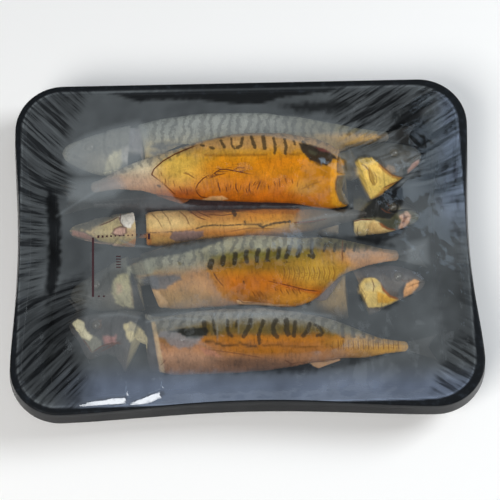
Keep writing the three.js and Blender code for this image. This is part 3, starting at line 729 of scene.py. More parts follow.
def smoked_skin(name):
    """Smoked skin: its painted colours, dark marks, creases darkened partly with painted shade, fine
    scales and pooled oil.
    """
    material, tree, output = blank_material(name)
    at = kept(tree, "skin_at", "Vector")
    grain = tree.nodes.new("ShaderNodeGroup")
    grain.node_tree = skin_grain
    tree.links.new(at, grain.inputs["At"])
    grain.inputs["Scale"].default_value = 1
    colour = kept(tree, "skin_colour", "Color")
    swing = sum_of(tree, "SUBTRACT", grain.outputs["Mottle"], 0.5)
    bright = plus(tree, times(tree, swing, MOTTLING), 1.0)
    # Darker in the low parts of the fine cracks.
    crack_low = range_to_share(tree, grain.outputs["Wrinkle"], 0.52, 0.34)
    bright = sum_of(tree, "SUBTRACT", bright, times(tree, crack_low, CRACK_DARKENING))
    colour = add_node(tree, "VectorMath", {"operation": "SCALE"}, Vector=colour, Scale=bright)
    fray = sum_of(tree, "SUBTRACT", noise(tree, at, 460.0, 5.0, 0.7), 0.5)
    fray = times(tree, fray, MARK_FRAY)
    mark = range_to_share(tree, plus(tree, kept(tree, "mark_gap"), fray), *MARK_EDGE)
    mark = times(tree, mark, kept(tree, "mark_share"))
    slanted = add_node(tree, "Mapping", Vector=at, Rotation=(0, 0, 0.22)).outputs[0]
    wavy = add_node(
        tree,
        "TexWave",
        Vector=slanted,
        Scale=38.0,
        Distortion=6.5,
        Detail=4.0,
        Detail_Scale=2.0,
        Detail_Roughness=0.7,
    )
    wavy = range_to_share(tree, wavy.outputs["Fac"], *BAR_EDGE)
    mark = sum_of(tree, "MAXIMUM", mark, times(tree, wavy, kept(tree, "barred")))
    colour = blend_colours(tree, mark, colour.outputs[0], paint(*MARK_COLOUR))
    crease = add_node(tree, "SeparateXYZ", Vector=kept(tree, "crease", "Vector"))
    wander = plus(tree, crease.outputs["X"], times(tree, fray, 0.2))
    off = sum_of(tree, "ABSOLUTE", wander, 0.0)
    cut = times(tree, range_to_share(tree, off, *CREASE_EDGE), crease.outputs["Y"])
    # Each crease is painted darker: painted shade in the fold, on top of its bump.
    colour = blend_colours(tree, cut, colour, paint(*CREASE_SHADE_COLOUR))
    relief = sum_of(tree, "SUBTRACT", grain.outputs["Relief"], times(tree, cut, 1.2))
    bump = add_node(tree, "Bump", Strength=0.55, Distance=0.0004, Height=relief).outputs["Normal"]
    rough = plus(tree, times(tree, grain.outputs["Oil"], OIL_ROUGHNESS), LEAST_ROUGHNESS)
    cover(tree, output, Base_Color=colour, Roughness=rough, Specular_IOR_Level=0.13, Normal=bump)
    return material


EYE_CLOUD = (150, 140, 118)


def eye_glaze():
    """The clouded skin of a cooked eye over its dark pupil."""
    material, tree, output = blank_material("cooked_eye")
    colour = kept(tree, "skin_colour", "Color")
    at = add_node(tree, "TexCoord").outputs["Object"]
    cloud = noise(tree, at, 900.0, 4.0)
    colour = blend_colours(tree, times(tree, cloud, 0.3), colour, paint(*EYE_CLOUD))
    bump = add_node(tree, "Bump", Strength=0.3, Distance=0.0002, Height=cloud).outputs["Normal"]
    cover(tree, output, Base_Color=colour, Roughness=0.22, Normal=bump)
    return material


cooked_eye = eye_glaze()
fish_pieces = []


def read_values(mesh, name):
    values = np.zeros(len(mesh.vertices))
    mesh.attributes[name].data.foreach_get("value", values)
    return values


def vertex_places(mesh, what="co"):
    values = np.zeros(len(mesh.vertices) * 3)
    if what == "co":
        mesh.vertices.foreach_get("co", values)
    else:
        mesh.vertex_normals.foreach_get("vector", values)
    return values.reshape(-1, 3)


def write_values(mesh, name, kind, values):
    attribute = mesh.attributes.new(name, kind, "POINT")
    key = {"FLOAT": "value", "FLOAT_VECTOR": "vector", "FLOAT_COLOR": "color"}[kind]
    attribute.data.foreach_set(key, np.ascontiguousarray(values, np.float32).ravel())


def floor_and_walls(points):
    """Keeps a fish above the tray's floor and inside its walls."""
    points[:, 2] = np.maximum(points[:, 2], WALL + FISH_CLEARANCE)
    inset = wall_inset(np.clip(points[:, 2], 0, RIM_HEIGHT)) + FISH_CLEARANCE
    for axis, size in ((0, TRAY_LENGTH), (1, TRAY_WIDTH)):
        reach = size / 2 - inset
        points[:, axis] = np.clip(points[:, axis], -reach, reach)
    return points


def build_fish(bm, fish):
    """Eyes, skin and fins in one bmesh. Each vertex keeps where it is on the fish in LAYERS."""
    layers = {key: bm.verts.layers.float.new(key) for key in LAYERS}
    add_eyes(bm, fish, layers["part"])
    places = stations()
    rings, heights = (np.array(rows) for rows in zip(*(fish.ring(p) for p in places)))
    verts, row, column = lay_grid(bm, rings)
    steps = np.linalg.norm(np.diff(rings, axis=1), axis=2)
    girth = np.concatenate((np.zeros((len(places), 1)), np.cumsum(steps, axis=1)), axis=1)
    whole = girth[:, -1:]
    girth = np.minimum(girth, whole - girth) - whole / 4
    height = heights[row, column]
    to_back, to_belly, _ = np.array([fish.section(p) for p in places])[row].T
    known = {
        "place": places[row],
        "height": height,
        "reach": height * np.where(height > 0, to_back, to_belly),
        "run": girth[row, column],
    }
    for key, values in known.items():
        for vert, value in zip(verts, values):
            vert[layers[key]] = value
    bmesh.ops.remove_doubles(bm, verts=bm.verts, dist=1e-7)
    body = set(bm.verts)
    add_tail_fin(bm, fish)
    add_edge_fin(bm, fish, **BACK_FIN)
    back_fins = set(bm.verts) - body
    add_edge_fin(bm, fish, **BELLY_FIN)
    for vert in set(bm.verts) - body:
        vert[layers["part"]] = BACK_FINS if vert in back_fins else BELLY_FINS
    bmesh.ops.recalc_face_normals(bm, faces=bm.faces)


DARK_FIN = (38, 37, 35)
# The neck's default colour is painted shade in the gap of the gill opening.
NECK_SHADE = (30, 28, 26)
DULL_EYE = (78, 74, 70)


def patch_share(seen, outline, soft, ragged=0):
    """1 inside an outline of the photograph's pixels and 0 outside, with a soft, ragged edge."""
    return smooth_step(inside_by(seen, outline) + ragged, -soft, soft)


def tinted(colour, seen, tints):
    """The colours drawn to each tint near it: its pixel, its reach, its colour and its weight."""
    weight = np.ones(len(seen))
    for (x, y), (wide, tall), tint, strength in tints:
        near = strength * np.exp(-(((seen[:, 0] - x) / wide) ** 2) - ((seen[:, 1] - y) / tall) ** 2)
        colour = colour + near[:, None] * paint(*tint)
        weight += near
    return colour / weight[:, None]


def eye_colours(out, colours):
    """A cooked eye by the share of its radius: a pale lens, a dark pupil and a dull iris."""
    iris = smooth_step(out, 0.36, 0.46)[:, None]
    lens = 1 - smooth_step(out, 0.10, 0.20)[:, None]
    dull = paint(*colours.get("eye", DULL_EYE))
    ball = 0.7 * dull * (1 - iris) + dull * iris
    return ball * (1 - lens) + paint(*colours.get("lens", colours.get("eye", DULL_EYE))) * lens


PIXELS_PER_MM = 1.12
NO_MARK_NEAR, NO_CREASE_NEAR, CREASE_REACH = 9.0, 3.0, 2.5


def mark_gaps(seen, marks):
    """How far each point is outside the dark marks, in millimetres. A mark: knots, half width."""
    gap = np.full(len(seen), NO_MARK_NEAR)
    for knots, half in marks:
        gap = np.minimum(gap, (line_gap(seen, knots)[0] - half) / PIXELS_PER_MM)
    return gap


def crease_values(seen, creases):
    """Each point's distance to one side of the nearest crease, in millimetres, and its depth."""
    signed = np.full(len(seen), NO_CREASE_NEAR)
    strength = np.zeros(len(seen))
    for knots, depth in creases:
        off, side, share = line_gap(seen, knots)
        nearer = off < np.abs(signed)
        signed = np.where(nearer, off * side, signed)
        fade = depth * np.minimum(1, 6 * np.minimum(share, 1 - share) + 0.15)
        strength = np.where(nearer, fade * (off < CREASE_REACH), strength)
    return signed / PIXELS_PER_MM, strength


def make_mackerel(
    name,
    fish,
    colours,
    seed,
    tints,
    patches,
    marks=(),
    creases=(),
    mark_share=0.85,
    bars=0,
    bars_from=0.28,
    unbarred=(),
):
    """One whole fish with its skin's colours and marks, which are placed by pixels of the photo.
    A patch holds its outline, colour, strength and soft edge, and an unbarred one has no bars."""
    bm = bmesh.new()
    build_fish(bm, fish)
    piece = finish_piece(name, bm, [smoked_skin(name + "_skin"), cooked_eye])
    mesh = piece.data
    place, height, reach, part, run = (read_values(mesh, key) for key in LAYERS)
    points, normals = vertex_places(mesh), vertex_places(mesh, "normal")
    on_skin = part == SKIN
    lift = head_relief(fish, place, height, reach) + body_relief(fish, place, height, reach, seed)
    lift += pectoral_lift(fish, place, reach)
    points = floor_and_walls(points + (lift * on_skin)[:, None] * normals)
    mesh.vertices.foreach_set("co", points.ravel())
    mesh.update()
    along = np.where(on_skin, place * fish.length, points[:, 0])
    across = np.where(on_skin, run, points[:, 1])
    write_values(mesh, "skin_at", "FLOAT_VECTOR", np.column_stack((along, across, 0 * along)))
    flat = np.column_stack((along, reach))
    warped = height + 0.07 * soft_noise(flat, 0.02, seed + 7) + 0.04 * soft_noise(flat, 0.006, seed + 8)
    seen = in_photo(points)
    colour = tinted(skin_palette(warped, place, colours), seen, tints)
    # The neck gets its own colour: by default painted shade in the gill opening.
    neck = (place > HEAD_END + 0.0002) & (place < BODY_START - 0.0002) & on_skin
    colour[neck] = paint(*colours.get("neck", NECK_SHADE))
    for outline, tint, strength, soft in patches.values():
        share = strength * patch_share(seen, outline, soft, 0.25 * soft * soft_noise(seen, 6, seed + 9))
        colour += share[:, None] * (paint(*tint) - colour)
    colour[part == BACK_FINS] = paint(*DARK_FIN)
    colour[part == BELLY_FINS] = paint(*colours["fin"])
    colour[part >= EYES] = eye_colours(part - EYES, colours)[part >= EYES]
    write_values(mesh, "skin_colour", "FLOAT_COLOR", np.column_stack((colour, np.ones(len(colour)))))
    barred = smooth_step(warped, bars_from - 0.08, bars_from + 0.10) * on_skin
    barred *= smooth_step(place, 0.25, 0.29) * (1 - smooth_step(place, 0.92, 0.97))
    for outline, soft in unbarred:
        barred -= barred * patch_share(seen, outline, soft)
    write_values(mesh, "barred", "FLOAT", barred * bars)
    gap = np.where(on_skin & (place > BODY_START), mark_gaps(seen, marks), NO_MARK_NEAR)
    write_values(mesh, "mark_gap", "FLOAT", gap)
    write_values(mesh, "mark_share", "FLOAT", np.full(len(points), mark_share))
    signed, strength = crease_values(seen, creases)
    crease = np.column_stack((signed, strength * on_skin, 0 * signed))
    write_values(mesh, "crease", "FLOAT_VECTOR", crease)
    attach(piece, "root")
    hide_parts(name.replace("fish_", "mackerel_"))
    fish_pieces.append(piece)


far_fish = Fish(
    [(-161, 97, 22), (-125, 95, 22), (-68, 100, 20), (0, 103, 19), (75, 106, 20), (133, 107, 21)],
    roll=12, size=0.95, head_cut=-4, body_cut=1, hollow=2,
)
make_mackerel(
    "fish_1",
    far_fish,
    # Its pale neck is painted light, which takes the shade out of the groove there.
    {
        "edge": (160, 132, 86), "belly": (182, 156, 102), "flank": (176, 164, 128),
        "band": (160, 160, 146), "back": (146, 150, 142), "head": (134, 134, 126), "tail": (190, 148, 78),
        "tail_back": (108, 104, 80), "fin": (60, 56, 50), "neck": (176, 174, 176), "eye": (132, 132, 124),
    },
    seed=11,
    tints=[
        ((84, 158), (12, 12), (118, 118, 112), 1.5), ((100, 166), (10, 8), (164, 156, 130), 2.0),
        ((330, 118), (50, 8), (126, 124, 104), 2.0), ((350, 138), (36, 4), (204, 164, 100), 2.4),
        ((250, 124), (70, 9), (164, 166, 158), 1.5), ((330, 125), (34, 7), (112, 106, 80), 4.0),
    ],
    patches={
        "pale gill cover": ([(104, 174), (108, 158), (113, 152), (121, 150), (124, 158), (117, 173)],
            (226, 220, 184), 0.9, 2.0),
        "white edge of the gill cover": ([(121, 160), (122, 149), (128, 146), (135, 150), (137, 158),
            (128, 164)], (196, 194, 188), 0.9, 2.0),
        "dull cheek": ([(88, 172), (84, 158), (96, 152), (104, 160), (100, 174)], (140, 136, 122), 0.6,
            3.5),
        "tail's end in shade": ([(374, 124), (396, 128), (396, 148), (370, 146), (378, 137)], (78, 78, 76),
            0.85, 4.0),
        "shade under the tail": ([(345, 146), (362, 141), (376, 139), (390, 140), (390, 150), (345, 150)],
            (92, 88, 76), 0.7, 1.5),
        "shade above the big fish": ([(147, 146), (158, 143), (178, 142), (184, 145), (160, 150)],
            (76, 80, 86), 0.8, 1.5),
        "second shade above it": ([(150, 152), (170, 148), (186, 147), (168, 152), (152, 156)],
            (92, 94, 98), 0.7, 1.5),
    },
    bars=0.46,
    bars_from=0.05,
)

# ---- The right mackerel, deep in the tray ----------------------------------------------------
# The same fish the other way round: its head lies at the right, dark on top, and the next two
# fish lie on its body and hide most of it.
right_fish = Fish(
    [(156, 30, 21), (122, 33, 21), (88, 38, 20), (40, 43, 19), (-20, 46, 18), (-80, 49, 18),
        (-135, 50, 18)],
    roll=10, size=0.92, head_cut=-3, hollow=1,
)
make_mackerel(
    "fish_4",
    right_fish,
    # Its body's colours are painted dark: painted shade under the fish that lie on it.
    {
        "edge": (66, 54, 48), "belly": (62, 50, 48), "flank": (56, 46, 46), "band": (50, 44, 42),
        "back": (44, 42, 40), "head": (88, 84, 62), "head_back": (24, 24, 24), "tail": (46, 46, 46),
        "fin": (40, 38, 36), "eye": (34, 33, 31), "lens": (150, 148, 140),
    },
    seed=41,
    tints=[
        # The dark maroon tint at (250, 208) is painted shadow in the gap between the big fish and the
        # rolled fish.
        ((318, 225), (22, 9), (116, 100, 82), 4.0), ((250, 208), (70, 4), (60, 36, 40), 4.0),
    ],
    patches={
        "yellow cheek": ([(352, 222), (361, 219.5), (373.5, 220), (379, 222), (386, 228.5), (396.5, 230.4),
            (397.8, 232.3), (392.7, 237.4), (383.7, 242), (376, 242.6), (366, 240.5), (358, 240),
            (353, 230)], (222, 198, 134), 0.95, 0.8),
        "golden middle of the cheek": ([(366, 224), (374, 221), (379, 225), (388, 231), (396, 232),
            (390, 238), (376, 241), (368, 236)], (208, 160, 88), 0.55, 2.5),
        "brown rim of the cheek": ([(378, 223), (382, 227), (388, 230), (397, 231), (396, 229), (389, 227),
            (383, 223)], (146, 78, 24), 0.9, 0.7),
        "olive behind the eye": ([(380, 220), (391, 219.5), (398, 212), (399, 222), (397, 229.5),
            (387, 228), (382, 224)], (62, 62, 40), 0.9, 1.2),
        "pink jaw": ([(399, 215.6), (406.8, 211), (411, 215.6), (409.4, 222), (405, 228.5), (398.5, 231.7),
            (399, 226), (402, 222)], (196, 156, 130), 0.95, 1.2),
        # The fold of the jaw is painted darker: painted shade in the fold.
        "fold of the jaw": ([(404, 214), (407, 217), (404, 224), (402, 223)], (96, 60, 48), 0.8, 0.8),
        "black top of the head": ([(353, 219.5), (358, 215), (368, 205), (377, 196), (391.4, 188),
            (404, 182), (403, 193), (399, 204), (398, 212), (391, 219.5), (377, 217.5), (364, 218)],
            (24, 25, 25), 0.95, 1.2),
        "pale belly that shows": ([(326, 221), (344, 222), (346, 231), (334, 234), (322, 230)],
            (176, 156, 124), 0.7, 2.5),
    },
    marks=[
        ([(366.5, 223), (367, 231), (368.6, 240)], 0.25),
    ],
    creases=[
        ([(352, 222), (361, 219.5), (373, 220)], 0.9), ([(387, 204), (391, 207), (388, 211)], 0.6),
        ([(381, 208), (386, 212), (391, 213)], 0.6), ([(358, 226), (357, 234), (361, 239)], 0.6),
    ],
)

# ---- The near right mackerel, deep in the tray -----------------------------------------------
# Another fish on the floor of the tray, its yellow cheek and pink jaw at the right. The two
# fish with their heads at the left lie across its body.
lower_fish = Fish(
    [(157, -32, 21), (128, -33, 21), (98, -39, 20), (50, -44, 19), (0, -47, 18), (-60, -50, 18),
        (-130, -50, 18)],
    roll=10, size=0.88, head_cut=-4, body_cut=2, hollow=2,
)
make_mackerel(
    "fish_6",
    lower_fish,
    # Its body's colours are painted dark: painted shade under the fish that lie across it.
    {
        "edge": (60, 54, 46), "belly": (60, 54, 46), "flank": (58, 54, 48), "band": (54, 50, 46),
        "back": (50, 48, 44), "head": (92, 84, 78), "head_back": (62, 57, 58), "tail": (46, 46, 46),
        "fin": (40, 38, 36), "eye": (64, 60, 60), "lens": (190, 188, 178),
    },
    seed=61,
    tints=[
        ((338, 292), (15, 14), (148, 122, 74), 4.0),
    ],
    patches={
        "yellow cheek": ([(359.4, 285), (364.5, 278.5), (374.7, 277.8), (380, 282.3), (383.7, 291.3),
            (391.4, 297), (399, 299.6), (390, 304.5), (380, 307), (368.3, 307.5), (362, 301.5),
            (359.4, 292.6)], (214, 186, 110), 0.95, 1.0),
        "golden edge of the cheek": ([(377, 292), (383, 293), (391, 298), (397, 300), (388, 303.5),
            (378, 303)], (214, 158, 40), 0.85, 1.5),
        "brown rim of the cheek": ([(380.5, 282), (383.7, 288.7), (390, 295), (398, 298.3), (399, 300),
            (389.5, 297.5), (382.5, 291)], (140, 78, 26), 0.9, 0.7),
        "pink jaw": ([(403, 291), (406.8, 283.6), (414.5, 279), (419, 281), (418.3, 286), (412, 293.8),
            (404.2, 297)], (216, 160, 104), 0.95, 1.0),
        # The near-black fold of the jaw is painted shade in the gap between cheek and jaw.
        "fold of the jaw": ([(397, 296), (400, 288), (405, 282), (404, 291), (402, 297)], (40, 34, 36),
            0.8, 1.0),
        "dull top of the cheek": ([(364, 284), (372, 281), (378, 285), (374, 290), (366, 290)],
            (188, 176, 132), 0.6, 2),
    },
    creases=[
        ([(372, 279), (374, 286), (373, 293)], 0.6), ([(361, 288), (366, 296), (364, 303)], 0.4),
        ([(397, 272), (399, 277), (404, 281.5), (410, 280)], 0.5),
    ],
)

# ---- The middle mackerel, belly up -----------------------------------------------------------
# A thin fish rolled on its back, so that its slit belly and its throat face up. It is held
# between the fish on each side, and its anal fin stands reddish over the slit.
rolled_fish = Fish(
    [(-152, 17, 35), (-120, 18, 33), (-87, 20, 29), (-30, 20, 29), (20, 22, 30), (70, 26, 31),
        (122, 32, 28)],
    roll=-66, size=0.84,
)
make_mackerel(
    "fish_3",
    rolled_fish,
    # Its dark neck colour is painted shade in the gill opening.
    {
        "edge": (200, 156, 82), "belly": (196, 146, 70), "flank": (168, 100, 22), "band": (96, 62, 26),
        "back": (54, 48, 42), "head": (186, 166, 122), "tail": (66, 62, 56), "fin": (148, 70, 20),
        "neck": (34, 33, 36),
    },
    seed=31,
    tints=[
        ((165, 219), (20, 10), (232, 206, 146), 3.5), ((215, 217), (18, 6), (190, 132, 66), 1.5),
        ((266, 217), (30, 5), (198, 130, 26), 3.0), ((225, 233), (70, 4), (170, 98, 16), 3.0),
        ((325, 218), (26, 12), (64, 62, 58), 6.0), ((352, 217), (20, 12), (60, 60, 58), 6.0),
    ],
    patches={
        # Painted shadow: the big fish's shadow over the slit of the belly.
        "painted shadow of the big fish on the slit": ([(172, 200), (200, 201), (260, 203), (300, 203), (318, 206), (312, 209),
            (296, 210), (262, 209.5), (246, 211), (232, 212.5), (216, 212), (205, 213), (196, 209),
            (180, 208)], (78, 46, 36), 0.9, 1.0),
        "dried lip of the slit": ([(203, 206), (214, 208), (226, 214), (214, 215), (200, 217), (188, 212)],
            (140, 92, 60), 0.7, 1.5),
        "golden lip of the slit": ([(240, 211), (262, 210), (300, 209), (298, 214), (262, 214)],
            (168, 104, 34), 0.7, 1.2),
        "grey and pink flank": ([(172, 232), (186, 231), (203, 231), (204, 236), (196, 240), (176, 242),
            (170, 238)], (120, 98, 96), 0.9, 1.2),
        "dark side of the head": ([(70, 210), (140, 206), (140, 214), (113, 219.6), (98, 226),
            (88.8, 231.5), (70, 229)], (84, 82, 74), 0.9, 2.5),
        "shade under the head": ([(66, 231), (84, 231), (100, 241), (124, 246), (124, 256), (60, 256)],
            (76, 74, 70), 0.95, 1.5),
        "pink tip of the jaw": ([(72, 230.5), (84, 232.5), (92, 237), (96, 241.5), (84, 238.5), (72, 235)],
            (168, 124, 108), 0.85, 1.0),
        "cream throat": ([(94, 232), (100, 226), (111, 221), (119, 216.4), (121, 224), (126, 232),
            (126, 240), (121, 243.6), (108, 242.5), (99, 240.4)], (182, 166, 120), 0.95, 1.2),
        "pale gill cover": ([(119, 216.4), (130, 213), (136.8, 209.5), (135.5, 219), (130.4, 228),
            (124, 227), (120.5, 222)], (222, 218, 208), 0.95, 0.8),
        "rim of the notch": ([(111, 233.5), (114, 228.5), (119.6, 225.6), (126.5, 227), (127.2, 233),
            (122, 236.5), (114.5, 235.6)], (96, 58, 40), 0.9, 0.7),
        "pink notch": ([(113, 233), (116, 229), (120, 227.4), (125, 228.4), (125.5, 232.4), (121, 235),
            (116, 234.2)], (190, 150, 132), 0.95, 0.7),
        "orange flank behind the head": ([(122, 245), (133, 240), (147, 233), (152, 240), (150, 248),
            (134, 249)], (198, 128, 54), 0.9, 1.0),
        "pale lower lip": ([(84, 240), (100, 242.2), (121, 244.6), (124, 247), (100, 245.5), (84, 242)],
            (206, 170, 148), 0.8, 0.6),
    },
    marks=[
        ([(146, 233), (165, 232.2), (186, 231), (196, 228.6)], 0.2),
        ([(196, 228.6), (203, 226.3), (214, 225.2), (226, 225.6), (244, 224.4), (262, 224.2)], 0.55),
        ([(258, 224.4), (263, 227.6), (265, 226), (276, 223), (290, 221.6)], 1.0),
        ([(233.5, 211.8), (235, 214.6)], 2.0), ([(244.6, 221.4), (245, 223)], 0.9),
        ([(94, 240.6), (108, 243.4), (122, 244)], 0.3), ([(150, 208), (160, 207.6), (172, 206)], 0.1),
    ],
    creases=[
        ([(150, 212), (158, 220), (163, 229)], 0.5), ([(160, 209), (168, 218), (171, 226)], 0.5),
        ([(178, 210), (186, 217), (190, 226)], 0.6), ([(188, 210), (198, 217), (206, 220)], 0.8),
        ([(192, 208), (200, 213), (212, 218)], 0.8), ([(121, 209), (120, 222)], 0.9),
        ([(228, 232), (250, 228), (280, 229)], 0.5), ([(206, 214), (222, 215.5), (238, 213)], 0.7),
        ([(250, 216), (252, 222)], 0.4), ([(119, 216.4), (120.6, 223), (124, 227)], 0.8),
        ([(98.4, 226), (111, 221), (119, 216.4)], 0.8),
    ],
)

